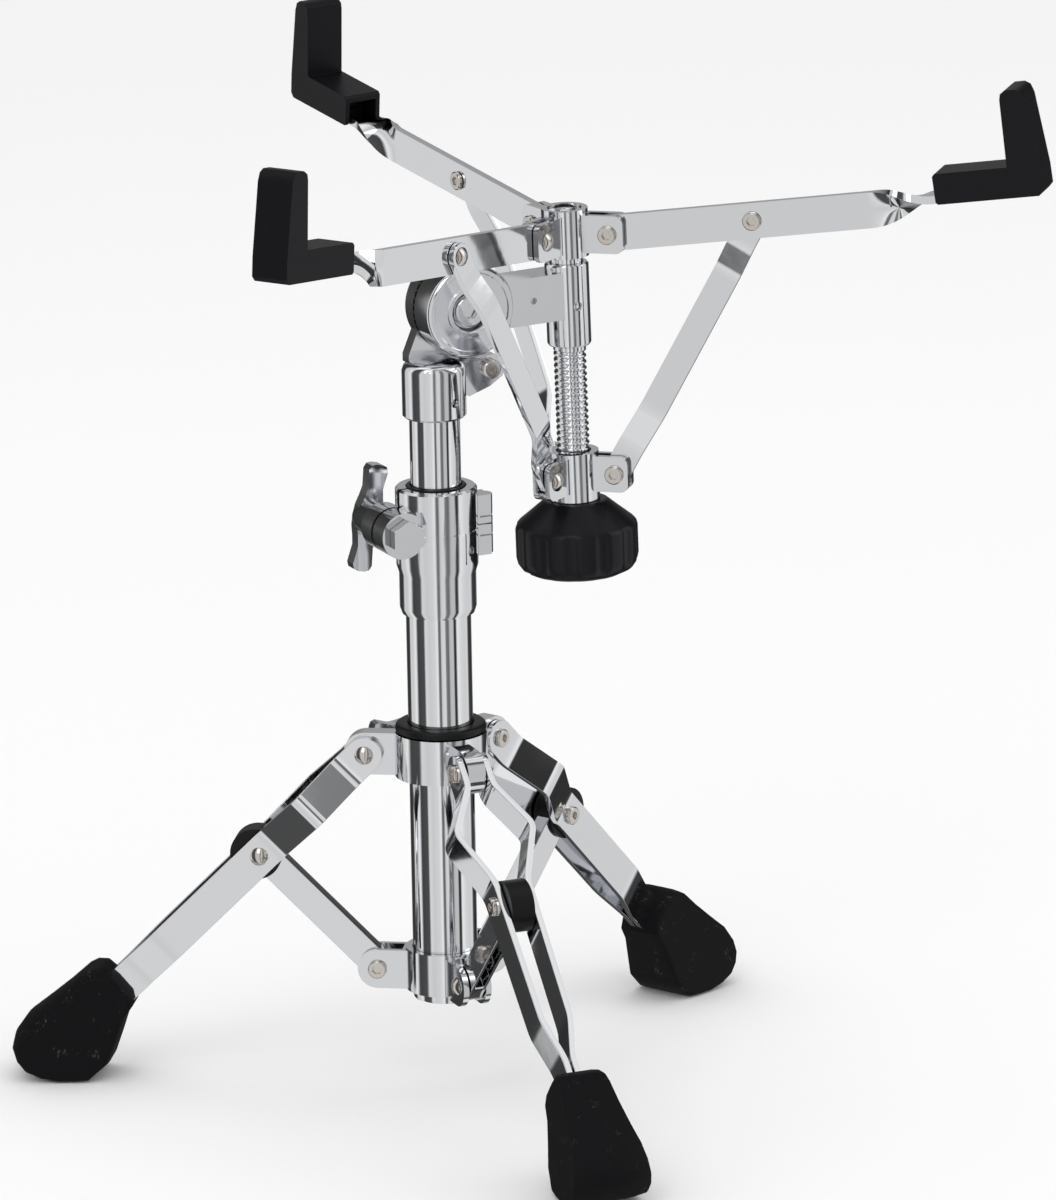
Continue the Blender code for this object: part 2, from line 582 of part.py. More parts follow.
def hub_with_forks(name, outer, bore, low, high, pivot_r, pivot_z, reach, half_height, mouth_half, cheek):
    """A short sleeve on the rod with three forks, one for each arm or strut."""
    frame = basket_frame()
    hub = cylinder(name, outer, low, high, frame, "chrome", 32)
    for k, azimuth in enumerate(ARM_AZIMUTHS):
        place = frame @ turned(azimuth) @ at(0, 0, pivot_z) @ turned(90, "X")
        corner = 2.5 * MM
        outline = [(5 * MM, -half_height), (reach - corner, -half_height), (reach, -half_height + corner),
                   (reach, half_height - corner), (reach - corner, half_height), (5 * MM, half_height)]
        side = mouth_half + cheek
        fork = prism(f"{name}_fork_{k}", outline, -side, side, place)
        mouth = box(f"{name}_mouth_{k}", (11.0 * MM, -half_height - 5 * MM, -mouth_half),
                    (reach + 5 * MM, half_height + 5 * MM, mouth_half), place)
        hole = cylinder(f"{name}_hole_{k}", PIN_HOLE, -9 * MM, 9 * MM, place @ at(pivot_r, 0, 0))
        join(hub, fork)
        cut(hub, mouth, hole)
    cut(hub, cylinder(name + "_bore", bore, low - 5 * MM, high + 5 * MM, frame, None, 32))
    return hub


def build_hubs():
    hub_with_forks("upper_hub", 10.2 * MM, ROD_RADIUS + GAP, -10.5 * MM, 10.7 * MM, ARM_PIVOT_R, 0.0,
                   27.6 * MM, 8.4 * MM, 2.15 * MM, 2.6 * MM)
    hub_with_forks("lower_hub", 11.0 * MM, ROD_RADIUS + 2 * GAP, KNOB_TOP + GAP,
                   STRUT_FOOT_Z + 9.5 * MM, STRUT_FOOT_R, STRUT_FOOT_Z, 25.8 * MM, 8.0 * MM, 1.85 * MM, 2.6 * MM)
    frame = basket_frame()
    for k, azimuth in enumerate(ARM_AZIMUTHS):
        radial = frame @ turned(azimuth)
        rivet(f"arm_{k}_hub_pin", radial @ at(ARM_PIVOT_R, 0, 0) @ turned(90, "X"), 5.1 * MM)
        rivet(f"strut_{k}_hub_pin", radial @ at(STRUT_FOOT_R, 0, STRUT_FOOT_Z) @ turned(90, "X"), 4.8 * MM)


def strut_top():
    """The strut's pivot on the arm: its radius and height in the basket frame."""
    rise = math.radians(ARM_RISE)
    return ARM_PIVOT_R + STRUT_REACH * math.cos(rise), STRUT_REACH * math.sin(rise)


def arm_frame(azimuth):
    """Local X runs out along the arm from its pivot, local Z is up across it."""
    return basket_frame() @ turned(azimuth) @ at(ARM_PIVOT_R, 0, 0) @ turned(-ARM_RISE, "Y")


def arm_stations():
    """The arm's middle line from its pivot: distance, height, twist in degrees and half width."""
    half_w = ARM_WIDTH / 2
    stations = [(0.0, 0.0, 0.0, half_w), (ARM_TWIST_START, 0.0, 0.0, half_w)]
    steps = 7
    for i in range(1, steps + 1):
        t = i / steps
        ease = t * t * (3 - 2 * t)
        x = ARM_TWIST_START + (ARM_TWIST_END - ARM_TWIST_START) * t
        stations.append((x, FLAT_END_Z * ease, 90 * ease, half_w + (FLAT_END_HALF - half_w) * ease))
    stations.append((ARM_END, FLAT_END_Z, 90.0, FLAT_END_HALF))
    return stations


def build_arm(k, azimuth):
    """An arm: an upright bar that twists flat near its end and carries the drum grip."""
    frame = arm_frame(azimuth)
    half_t = ARM_THICK / 2
    bm = bmesh.new()
    rings = []
    for x, z, twist, width in arm_stations():
        turn = math.radians(twist)
        up = Vector((0, -math.sin(turn), math.cos(turn)))
        side = Vector((0, math.cos(turn), math.sin(turn)))
        centre = Vector((x, 0, z))
        corners = [centre + up * a * width + side * b * half_t
                   for a, b in ((1, 1), (-1, 1), (-1, -1), (1, -1))]
        rings.append([bm.verts.new(c) for c in corners])
    twisted = []
    for n, (a, b) in enumerate(zip(rings, rings[1:])):
        for i in range(4):
            j = (i + 1) % 4
            face = bm.faces.new((a[i], b[i], b[j], a[j]))
            if 0 < n < len(rings) - 2:
                twisted.append(face)
    bm.faces.new(rings[-1])
    round_nose(bm, rings[0], Vector((0, 0, 0)), ARM_WIDTH / 2)
    bmesh.ops.triangulate(bm, faces=twisted)
    arm = mesh_object(f"basket_arm_{k}", bm, frame, "chrome")
    pin_place = frame @ at(STRUT_REACH, 0, 0) @ turned(90, "X")
    cut(arm, cylinder(f"arm_strut_hole_{k}", PIN_HOLE, -9 * MM, 9 * MM, pin_place),
        cylinder(f"arm_hub_hole_{k}", PIN_HOLE, -9 * MM, 9 * MM, frame @ turned(90, "X")))
    grip = build_grip(k, frame)
    # The strut pin's long side holds the strut, its short side only the arm.
    side = STRUT_SIDES[k]
    low, high = sorted((-side * 2.05 * MM, side * 5.2 * MM))
    profile = [(0, low - 1.6 * MM), (2.6 * MM, low - 1.2 * MM), (4.2 * MM, low), (1.9 * MM, low),
               (1.9 * MM, high), (4.2 * MM, high), (2.6 * MM, high + 1.2 * MM), (0, high + 1.6 * MM)]
    pin = revolve(f"arm_{k}_strut_pin", profile, pin_place @ turned(180, "X"), "chrome", 14)
    pivot = frame.translation
    carry(empty(f"arm_{k}_axis", pivot), at(*pivot), arm, grip, pin)


def round_nose(bm, ring, centre, radius):
    """Close the arm's hub end with a half disc on each face."""
    arc = 8
    sides = []
    for index in (0, 3):
        start = ring[index]
        stop = ring[1 if index == 0 else 2]
        chain = [start]
        for i in range(1, arc):
            angle = math.pi / 2 + math.pi * i / arc
            chain.append(bm.verts.new((centre.x + radius * math.cos(angle), start.co.y,
                                       centre.z + radius * math.sin(angle))))
        chain.append(stop)
        sides.append(chain)
    bm.faces.new(sides[0])
    bm.faces.new(sides[1][::-1])
    for i in range(arc):
        bm.faces.new((sides[0][i], sides[1][i], sides[1][i + 1], sides[0][i + 1]))


def build_grip(k, frame):
    """An L-shaped rubber grip: the drum rests on its foot and is held by its upright."""
    bottom = FLAT_END_Z - ARM_THICK / 2
    top = bottom + GRIP_HEIGHT
    seat = bottom + GRIP_BASE_HEIGHT
    outer_top = GRIP_OUTER - 2.5 * MM
    outline = [(GRIP_INNER + 2 * MM, bottom), (GRIP_OUTER - 3 * MM, bottom), (GRIP_OUTER, bottom + 3 * MM),
               (GRIP_OUTER, seat - 3 * MM), (outer_top, top - 4 * MM), (outer_top - 3 * MM, top),
               (GRIP_WALL + 4 * MM, top), (GRIP_WALL + 1 * MM, top - 3 * MM), (GRIP_WALL, seat),
               (GRIP_INNER + 1 * MM, seat), (GRIP_INNER, seat - 1 * MM), (GRIP_INNER, bottom + 2 * MM)]
    half = GRIP_WIDTH / 2
    grip = prism(f"grip_{k}", outline, -half, half, frame @ turned(90, "X"), "rubber")
    room = FLAT_END_HALF + GAP
    pocket = box(f"grip_pocket_{k}", (GRIP_INNER - 5 * MM, -room, bottom - 5 * MM),
                 (ARM_END + GAP, room, FLAT_END_Z + ARM_THICK / 2 + GAP), frame)
    hollow = box(f"grip_hollow_{k}", (GRIP_INNER - 5 * MM, -room - GAP, bottom - 5 * MM),
                 (GRIP_INNER + 12 * MM, room + GAP, bottom + 10.5 * MM), frame)
    cut(grip, pocket, hollow)
    return grip


def build_strut(k, azimuth):
    """A strut from the lower hub up to its arm, bowed sideways to clear the tilter."""
    frame = basket_frame() @ turned(azimuth)
    top_r, top_z = strut_top()
    foot = Vector((STRUT_FOOT_R, 0, STRUT_FOOT_Z))
    head = Vector((top_r, 0, top_z))
    along = (head - foot).normalized()
    across = Vector((0, STRUT_SIDES[k], 0))
    local = Matrix((along, across.cross(along), across)).transposed().to_4x4()
    place = frame @ at(*foot) @ local
    length = (head - foot).length
    path = [(0, 0), (13 * MM, 0), (31 * MM, 7.6 * MM), (length - 29 * MM, 7.6 * MM), (length - 13 * MM, 3.5 * MM),
            (length, 3.5 * MM)]
    strut = bent_strip(f"strut_{k}", path, STRUT_WIDTH / 2, STRUT_THICK, place, "chrome")
    cut(strut, cylinder(f"strut_low_hole_{k}", PIN_HOLE, -9 * MM, 9 * MM, place),
        cylinder(f"strut_top_hole_{k}", 3.5 * MM, -9 * MM, 9 * MM, place @ at(length, 0, 0)))
    pivot = frame @ foot
    carry(empty(f"strut_{k}_axis", pivot), at(*pivot), strut)


def build_knob():
    """The round knob threads up the rod and pushes the lower hub, which closes the arms."""
    frame = basket_frame()
    count = 36
    profile = [(12.6, -120.5, 0.0), (18.5, -125.0, 0.0), (26.4, -131.5, 0.2), (27.0, -133.0, 1.0),
               (27.0, -147.0, 1.0), (24.5, -151.0, 0.6), (19.0, -153.5, 0.0)]
    bm = bmesh.new()
    rings = []
    for radius, z, flute in profile:
        ring = []
        for i in range(count):
            dip = 1.3 * flute if i % 3 == 0 else 0.0
            x, y = circle_points(radius - dip, count)[i]
            ring.append(bm.verts.new((x * MM, y * MM, z * MM)))
        rings.append(ring)
    for low, high in zip(rings, rings[1:]):
        for i in range(count):
            j = (i + 1) % count
            bm.faces.new((low[i], low[j], high[j], high[i]))
    bm.faces.new(rings[0])
    bm.faces.new(rings[-1])
    knob = mesh_object("basket_knob", bm, frame, "plastic")
    cut(knob, cylinder("knob_bore", ROD_RADIUS + 2 * GAP, ROD_BOTTOM - 20 * MM, KNOB_TOP + 5 * MM, frame,
                       None, 28))
    return knob


def stand_on_origin():
    """Move the whole model so that the middle of its box stands over the origin."""
    for obj in bpy.data.objects:
        if obj.parent is None:
            obj.location += STAND_SHIFT


def build():
    clear_scene()
    build_post()
    build_height_clamp()
    build_collar()
    build_lower_bracket()
    for k, azimuth in enumerate(LEG_AZIMUTHS):
        build_leg(k, azimuth)
        build_brace(k, azimuth)
    build_upper_post()
    build_tilter_arm()
    build_hubs()
    for k, azimuth in enumerate(ARM_AZIMUTHS):
        build_arm(k, azimuth)
        build_strut(k, azimuth)
    build_knob()
    stand_on_origin()


build()
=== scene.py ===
"""The looks of the snare drum stand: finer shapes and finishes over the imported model, with its stage.

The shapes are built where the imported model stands. The post axis is vertical, the floor is z = 0, and +X
points from the post to the basket.
"""

import json
import math

import bmesh
import bpy
from mathutils import Matrix, Vector

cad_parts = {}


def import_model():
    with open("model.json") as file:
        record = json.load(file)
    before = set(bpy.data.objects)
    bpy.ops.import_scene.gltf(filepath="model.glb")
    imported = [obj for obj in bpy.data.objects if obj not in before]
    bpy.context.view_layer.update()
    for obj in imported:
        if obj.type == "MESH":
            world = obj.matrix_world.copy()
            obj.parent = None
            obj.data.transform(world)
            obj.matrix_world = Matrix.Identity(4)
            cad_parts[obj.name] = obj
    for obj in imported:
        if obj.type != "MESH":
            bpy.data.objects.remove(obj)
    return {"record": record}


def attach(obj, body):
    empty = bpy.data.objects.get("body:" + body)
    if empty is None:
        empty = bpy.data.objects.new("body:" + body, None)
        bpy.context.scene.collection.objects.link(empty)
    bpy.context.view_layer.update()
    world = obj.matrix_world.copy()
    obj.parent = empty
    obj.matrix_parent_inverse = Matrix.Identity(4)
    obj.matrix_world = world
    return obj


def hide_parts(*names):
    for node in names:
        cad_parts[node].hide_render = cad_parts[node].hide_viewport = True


MM = 0.001
GAP = 0.3 * MM                      # clearance between neighbouring pieces

# Post
TUBE_RADIUS = 14.3 * MM
TUBE_WALL = 1.5 * MM
TUBE_BOTTOM = 41.0 * MM
TUBE_TOP = 250.0 * MM
INNER_TUBE_RADIUS = 11.1 * MM
INNER_TUBE_BOTTOM = 78.0 * MM
INNER_TUBE_TOP = 327.0 * MM

# Tripod: the legs' top pivots ride on a sliding collar, the braces' low pivots on a fixed bracket
LEG_AZIMUTHS = (147.0, 27.0, -93.0)
COLLAR_BOTTOM = 143.0 * MM
COLLAR_TOP = 163.0 * MM
COLLAR_RADIUS = 20.5 * MM
COLLAR_BORE = 16.3 * MM
LUG_HALF = 4.0 * MM
LUG_HEIGHT = 19.0 * MM
TOP_PIVOT_R = 33.4 * MM
TOP_PIVOT_Z = 152.4 * MM
MID_PIVOT_R = 81.0 * MM
MID_PIVOT_Z = 105.3 * MM
LOW_PIVOT_R = 29.6 * MM
LOW_PIVOT_Z = 54.0 * MM
STRIP_WIDTH = 16.0 * MM
STRIP_THICK = 2.8 * MM
STRIP_LENGTH = 168.0 * MM
BRACE_WIDTH = 13.0 * MM
BRACE_THICK = 7.0 * MM
BRACKET_BOTTOM = 45.0 * MM
BRACKET_TOP = 64.0 * MM
BRACKET_RADIUS = 17.5 * MM
PIN_RADIUS = 2.2 * MM
PIN_SOCKET = 2.1 * MM
PIN_EDGE = 0.15 * MM
PIN_HOLE = 2.55 * MM
HOLE_REACH = 9.0 * MM               # how far a pivot's cutter runs to each side of its middle
WING_BOLT_AZIMUTH = 87.0

# Height clamp at the top of the lower tube
CLAMP_BOTTOM = 217.0 * MM
CLAMP_STEP = 237.5 * MM
CLAMP_TOP = 274.0 * MM
CLAMP_RADIUS = 18.0 * MM
CLAMP_SLEEVE_RADIUS = 16.9 * MM
CLAMP_BOLT_X = -20.7 * MM
CLAMP_BOLT_Z = 256.0 * MM

# Tilter
CAP_BOTTOM = 305.0 * MM
CAP_TOP = 330.0 * MM
CAP_RADIUS = 14.0 * MM
TILT_X = 13.4 * MM
TILT_Z = 352.3 * MM
DISC_RADIUS = 20.7 * MM
BASKET_TILT = -1.36                 # degrees about Y: the rod's foot leans away from the post

# Basket, in its own frame: origin on the rod's axis at the arm pivots' height
ROD_X = 64.2 * MM
HUB_Z = 380.2 * MM
ROD_RADIUS = 7.2 * MM
ROD_BOTTOM = -147.0 * MM
SLEEVE_RADIUS = 9.7 * MM
SLEEVE_TOP = -13.5 * MM
SLEEVE_BOTTOM = -50.5 * MM
ARM_AZIMUTHS = (-42.5, 97.0, 210.5)
STRUT_SIDES = (1, -1, 1)            # which side of its arm each strut runs on
ARM_PIVOT_R = 20.5 * MM
ARM_RISE = 6.9                      # degrees above the basket's own level
ARM_WIDTH = 15.8 * MM
ARM_THICK = 3.5 * MM
ARM_TWIST_START = 118.0 * MM        # along the arm from its pivot
ARM_TWIST_END = 148.0 * MM
ARM_END = 189.0 * MM
FLAT_END_Z = 3.0 * MM               # height of the arm's flat end over its middle line
FLAT_END_HALF = 6.3 * MM
STRUT_REACH = 65.4 * MM             # arm pivot to strut pivot, along the arm
STRUT_WIDTH = 12.0 * MM
STRUT_THICK = 2.8 * MM
STRUT_TOP_HOLE = 3.5 * MM           # wide, as folding shifts the arm's pin in it
STRUT_FOOT_R = 19.6 * MM
STRUT_FOOT_Z = -108.0 * MM
GRIP_INNER = 150.5 * MM             # along the arm from its pivot
GRIP_WALL = 184.0 * MM
GRIP_OUTER = 198.5 * MM
GRIP_HEIGHT = 47.0 * MM
GRIP_BASE_HEIGHT = 13.6 * MM
GRIP_WIDTH = 18.0 * MM
KNOB_TOP = -120.5 * MM

# The finished model stands with the middle of its box over the origin.
STAND_SHIFT = Vector((-26.26 * MM, -8.18 * MM, 0.0))

# Camera: a long lens a little above the basket's height, the post left of the middle
CAMERA_AZIMUTH = 24.2               # degrees that the view turns from +Y towards +X
CAMERA_ELEVATION = 15.2
CAMERA_ROLL = -1.17
CAMERA_DISTANCE = 3.85
CAMERA_TARGET_Z = 222.0 * MM
CAMERA_LENS = 300.0
CAMERA_SENSOR = 36.0
CAMERA_SHIFT_X = 0.085

FINE = 96                           # facets round a tube
SMALL = 40                          # facets round a pin or a screw
EDGE = 0.4 * MM                     # the usual rounding of an edge


# ---------------------------------------------------------------- materials

def new_material(name):
    mat = bpy.data.materials.new(name)
    mat.use_nodes = True
    return mat, mat.node_tree.nodes, mat.node_tree.links, mat.node_tree.nodes["Principled BSDF"]


def noise(mat, scale, detail=2.0, stretch=(1.0, 1.0, 1.0)):
    """A noise texture in the object's own coordinates, as a socket."""
    nodes, links = mat.node_tree.nodes, mat.node_tree.links
    coordinates = nodes.new("ShaderNodeTexCoord")
    mapping = nodes.new("ShaderNodeMapping")
    mapping.inputs["Scale"].default_value = stretch
    texture = nodes.new("ShaderNodeTexNoise")
    texture.inputs["Scale"].default_value = scale
    texture.inputs["Detail"].default_value = detail
    links.new(coordinates.outputs["Object"], mapping.inputs["Vector"])
    links.new(mapping.outputs["Vector"], texture.inputs["Vector"])
    return texture.outputs["Fac"]


def roughen(mat, height, strength, distance):
    """Bump the material's surface by a socket of heights."""
    nodes, links = mat.node_tree.nodes, mat.node_tree.links
    bump = nodes.new("ShaderNodeBump")
    bump.inputs["Strength"].default_value = strength
    bump.inputs["Distance"].default_value = distance
    links.new(height, bump.inputs["Height"])
    links.new(bump.outputs["Normal"], nodes["Principled BSDF"].inputs["Normal"])


def metal(name, colour, roughness):
    """Plated metal: its gloss varies a little in soft patches, and its surface is faintly uneven."""
    mat, nodes, links, shader = new_material(name)
    shader.inputs["Base Color"].default_value = colour
    shader.inputs["Metallic"].default_value = 1.0
    gloss = nodes.new("ShaderNodeMapRange")
    gloss.inputs["From Min"].default_value = 0.3
    gloss.inputs["From Max"].default_value = 0.7
    gloss.inputs["To Min"].default_value = roughness * 0.8
    gloss.inputs["To Max"].default_value = roughness * 1.25
    links.new(noise(mat, 55.0, 4.0), gloss.inputs["Value"])
    links.new(gloss.outputs["Result"], shader.inputs["Roughness"])
    roughen(mat, noise(mat, 110.0), 0.02, 0.001)
    return mat


def soft_black(name, colour, roughness, grain, depth, shine):
    """Rubber or plastic: one dark colour with a fine grain in its surface."""
    mat, _, _, shader = new_material(name)
    shader.inputs["Base Color"].default_value = colour
    shader.inputs["Roughness"].default_value = roughness
    shader.inputs["Specular IOR Level"].default_value = shine
    roughen(mat, noise(mat, grain, 3.0), depth, 0.0004)
    return mat


def scuffed_rubber(name):
    """The feet: matte black rubber with sparse pale scuffs."""
    black = (0.003, 0.003, 0.0042, 1.0)
    mat = soft_black(name, black, 0.62, 900.0, 0.35, 0.14)
    nodes, links = mat.node_tree.nodes, mat.node_tree.links
    product = nodes.new("ShaderNodeMath")
    product.operation = "MULTIPLY"
    ramp = nodes.new("ShaderNodeValToRGB")
    ramp.color_ramp.elements[0].position = 0.38
    ramp.color_ramp.elements[0].color = black
    ramp.color_ramp.elements[1].position = 0.52
    ramp.color_ramp.elements[1].color = (0.09, 0.085, 0.08, 1.0)
    links.new(noise(mat, 1500.0, 6.0, (1.0, 1.0, 0.35)), product.inputs[0])
    links.new(noise(mat, 120.0), product.inputs[1])
    links.new(product.outputs["Value"], ramp.inputs["Fac"])
    links.new(ramp.outputs["Color"], nodes["Principled BSDF"].inputs["Base Color"])
    return mat


def make_looks():
    return {
        "chrome": metal("polished_chrome", (0.78, 0.79, 0.81, 1.0), 0.06),
        "satin": metal("cast_chrome", (0.76, 0.77, 0.79, 1.0), 0.1),
        "nickel": metal("warm_nickel", (0.66, 0.62, 0.58, 1.0), 0.16),
        "screw": metal("screw_steel", (0.36, 0.30, 0.26, 1.0), 0.3),
        "teeth": metal("tooth_ring", (0.30, 0.20, 0.13, 1.0), 0.38),
        "foot": scuffed_rubber("foot_rubber"),
        "grip": soft_black("grip_rubber", (0.004, 0.0035, 0.0055, 1.0), 0.42, 1400.0, 0.18, 0.2),
        "knob": soft_black("knob_plastic", (0.004, 0.0033, 0.0055, 1.0), 0.34, 1400.0, 0.15, 0.24),
        "plastic": soft_black("black_plastic", (0.004, 0.004, 0.004, 1.0), 0.4, 1200.0, 0.1, 0.25),
    }


# ---------------------------------------------------------------- general helpers

def mesh_object(name, bm, place):
    """Turn a bmesh into an object standing at the given matrix of the stand."""
    bmesh.ops.remove_doubles(bm, verts=bm.verts[:], dist=1e-6)
    bmesh.ops.recalc_face_normals(bm, faces=bm.faces[:])
    mesh = bpy.data.meshes.new(name)
    bm.to_mesh(mesh)
    bm.free()
    obj = bpy.data.objects.new(name, mesh)
    bpy.context.scene.collection.objects.link(obj)
    obj.matrix_world = Matrix.Translation(STAND_SHIFT) @ place
    return obj


def boolean(obj, others, operation):
    """Apply a Boolean with each of the others, and remove the others."""
    for other in others:
        mod = obj.modifiers.new(operation.lower(), "BOOLEAN")
        mod.operation = operation
        mod.solver = "EXACT"
        mod.object = other
    settle(obj)
    for other in others:
        bpy.data.objects.remove(other, do_unlink=True)
    return obj


def settle(obj):
    """Make the evaluated shape the object's own mesh, with its vertices in world places."""
    graph = bpy.context.evaluated_depsgraph_get()
    mesh = bpy.data.meshes.new_from_object(obj.evaluated_get(graph))
    mesh.transform(obj.matrix_world)
    obj.modifiers.clear()
    obj.data = mesh
    obj.matrix_world = Matrix()


def cut(obj, *cutters):
    return boolean(obj, cutters, "DIFFERENCE")


def join(obj, *others):
    return boolean(obj, others, "UNION")


def at(x, y, z):
    return Matrix.Translation((x, y, z))


def turned(degrees, axis="Z"):
    return Matrix.Rotation(math.radians(degrees), 4, axis)


def axes(along, across):
    """The turn that takes local X to one direction and local Z to another."""
    return Matrix((along, across.cross(along), across)).transposed().to_4x4()


def polar(radius, angle):
    return radius * math.cos(angle), radius * math.sin(angle)


def circle_points(radius, count, start=0.0, sweep=2 * math.pi):
    closed = abs(sweep - 2 * math.pi) < 1e-9
    steps = count if closed else count - 1
    return [polar(radius, start + sweep * i / steps) for i in range(count)]


def skin(bm, rings, closed):
    """Faces between consecutive rings of equal length. A ring of one vertex is a pole."""
    pairs = zip(rings, rings[1:] + rings[:1]) if closed else zip(rings, rings[1:])
    for low, high in pairs:
        if len(low) == 1 and len(high) == 1:
            continue
        count = max(len(low), len(high))
        for i in range(count):
            j = (i + 1) % count
            if len(low) == 1:
                bm.faces.new((low[0], high[j], high[i]))
            elif len(high) == 1:
                bm.faces.new((low[i], low[j], high[0]))
            else:
                bm.faces.new((low[i], low[j], high[j], high[i]))


def revolve(name, profile, place, count=FINE):
    """Turn a closed (radius, z) outline about Z. Points at radius 0 become single poles."""
    bm = bmesh.new()
    rings = []
    for radius, z in profile:
        if radius <= 0:
            rings.append([bm.verts.new((0, 0, z))])
        else:
            rings.append([bm.verts.new((x, y, z)) for x, y in circle_points(radius, count)])
    skin(bm, rings, True)
    return mesh_object(name, bm, place)


def tube_profile(outer, inner, bottom, top):
    return [(inner, bottom), (outer, bottom), (outer, top), (inner, top)]


def cylinder(name, radius, bottom, top, place, count=FINE):
    return revolve(name, [(0, bottom), (radius, bottom), (radius, top), (0, top)], place, count)


def pivot_hole(name, place, radius=PIN_HOLE):
    """A cutter along local Z for a pivot pin's hole."""
    return cylinder(name, radius, -HOLE_REACH, HOLE_REACH, place, SMALL)


def hexagon(radius, start=0.0):
    return circle_points(radius, 6, math.radians(start))


def prism(name, outline, low, high, place):
    """Extrude a flat outline in the local XY plane from z = low to z = high."""
    bm = bmesh.new()
    bottom = [bm.verts.new((x, y, low)) for x, y in outline]
    top = [bm.verts.new((x, y, high)) for x, y in outline]
    bm.faces.new(bottom[::-1])
    bm.faces.new(top)
    count = len(outline)
    for i in range(count):
        j = (i + 1) % count
        bm.faces.new((bottom[i], bottom[j], top[j], top[i]))
    return mesh_object(name, bm, place)


def box(name, low, high, place):
    outline = [(low[0], low[1]), (high[0], low[1]), (high[0], high[1]), (low[0], high[1])]
    return prism(name, outline, low[2], high[2], place)


def stadium(x0, x1, radius):
    """A slot outline along X between two arc centres."""
    count = 21
    right = [(x1 + x, y) for x, y in circle_points(radius, count, -math.pi / 2, math.pi)]
    left = [(x0 + x, y) for x, y in circle_points(radius, count, math.pi / 2, math.pi)]
    return right + left


def rounded_path(points):
    """Replace each inner corner of a path by a short curve."""
    trim, steps = 3.2 * MM, 5
    path = [Vector(points[0])]
    for before, corner, after in zip(points, points[1:], points[2:]):
        before, corner, after = Vector(before), Vector(corner), Vector(after)
        start = corner + (before - corner).normalized() * trim
        stop = corner + (after - corner).normalized() * trim
        for i in range(steps + 1):
            t = i / steps
            path.append(start * (1 - t) ** 2 + corner * 2 * t * (1 - t) + stop * t * t)
    path.append(Vector(points[-1]))
    return path


def bent_strip(name, stations, half_width, thickness, place, round_ends=(True, True)):
    """A flat bar along local X, bent in the local XZ plane, its width along local Y."""
    arc = 17
    points = rounded_path(stations)
    skins = ([], [])
    bm = bmesh.new()
    for i, point in enumerate(points):
        before = (point - points[i - 1]).normalized() if i > 0 else None
        after = (points[i + 1] - point).normalized() if i < len(points) - 1 else None
        first = before or after
        second = after or before
        middle = (first + second).normalized()
        offset = Vector((-middle.y, middle.x)) * (thickness / 2 / middle.dot(first))
        for sign, rows in ((1, skins[0]), (-1, skins[1])):
            x, z = point + offset * sign
            rows.append([bm.verts.new((x, -half_width, z)), bm.verts.new((x, half_width, z))])
    rims = [[], []]
    for end, index in ((0, 0), (1, len(points) - 1)):
        side = -1 if end == 0 else 1
        for rows in skins:
            low, high = rows[index]
            rim = [low]
            if round_ends[end]:
                for k in range(1, arc - 1):
                    angle = -math.pi / 2 + math.pi * k / (arc - 1)
                    x = low.co.x + side * half_width * math.cos(angle)
                    rim.append(bm.verts.new((x, half_width * math.sin(angle), low.co.z)))
                bm.faces.new(rim + [high])
            rim.append(high)
            rims[end].append(rim)
    for rows in skins:
        for a, b in zip(rows, rows[1:]):
            bm.faces.new((a[0], b[0], b[1], a[1]))
    top, low = skins
    for i in range(len(points) - 1):
        for edge in (0, 1):
            bm.faces.new((top[i][edge], top[i + 1][edge], low[i + 1][edge], low[i][edge]))
    for upper, lower in rims:
        for k in range(len(upper) - 1):
            bm.faces.new((upper[k], upper[k + 1], lower[k + 1], lower[k]))
    return mesh_object(name, bm, place)


class Stand:
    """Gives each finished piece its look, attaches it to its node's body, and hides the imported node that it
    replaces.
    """

    def __init__(self):
        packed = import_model()
        record = packed["record"]
        self.body_of = {node: body for body, nodes in record["behaviour"]["bodies"].items() for node in nodes}
        self.slot_of = {part["node"]: part["material_slot"] for part in record["subparts"]}
        self.looks = make_looks()

    def show(self, obj, node, look, edge=EDGE, segments=2, angle=35.0, replace=True):
        """Round the piece's edges, give it its material, and let it move with its node's body."""
        settle(obj)
        obj.name = "look_" + obj.name
        obj.data.materials.clear()
        obj.data.materials.append(self.looks[look])
        if edge:
            bevel = obj.modifiers.new("rounding", "BEVEL")
            bevel.width = edge
            bevel.segments = segments
            bevel.limit_method = "ANGLE"
            bevel.angle_limit = math.radians(angle)
            bevel.miter_outer = "MITER_ARC"
        settle(obj)
        obj.data.shade_smooth()
        obj.data.set_sharp_from_angle(angle=math.radians(40))
        weighted = obj.modifiers.new("normals", "WEIGHTED_NORMAL")
        weighted.keep_sharp = True
        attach(obj, self.body_of[node])
        if replace:
            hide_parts(node)
        return obj


# ---------------------------------------------------------------- screws and rivets

def show_pin(stand, name, place, low, high, socket_side, radius=PIN_RADIUS):
    """A pivot along local Z: a domed head on one end, and a socket screw's head on the other."""
    dome = [(0.0, 1.9), (1.3, 1.75), (2.5, 1.3), (3.5, 0.65), (4.2, 0.0)]
    flat = [(0.0, 1.7), (3.6, 1.7), (4.1, 1.2), (4.2, 0.0)]
    above, below = (flat, dome) if socket_side > 0 else (dome, flat)
    upper = [(r * MM, high + z * MM) for r, z in above]
    lower = [(r * MM, low - z * MM) for r, z in below]
    profile = lower + [(radius, low), (radius, high)] + upper[::-1]
    pin = revolve(name, profile, place, SMALL)
    start = high if socket_side > 0 else low
    step = socket_side * MM
    edges = sorted((start + 0.5 * step, start + 3.0 * step))
    cut(pin, prism(name + "_socket", hexagon(PIN_SOCKET), edges[0], edges[1], place))
    stand.show(pin, name, "nickel", PIN_EDGE)


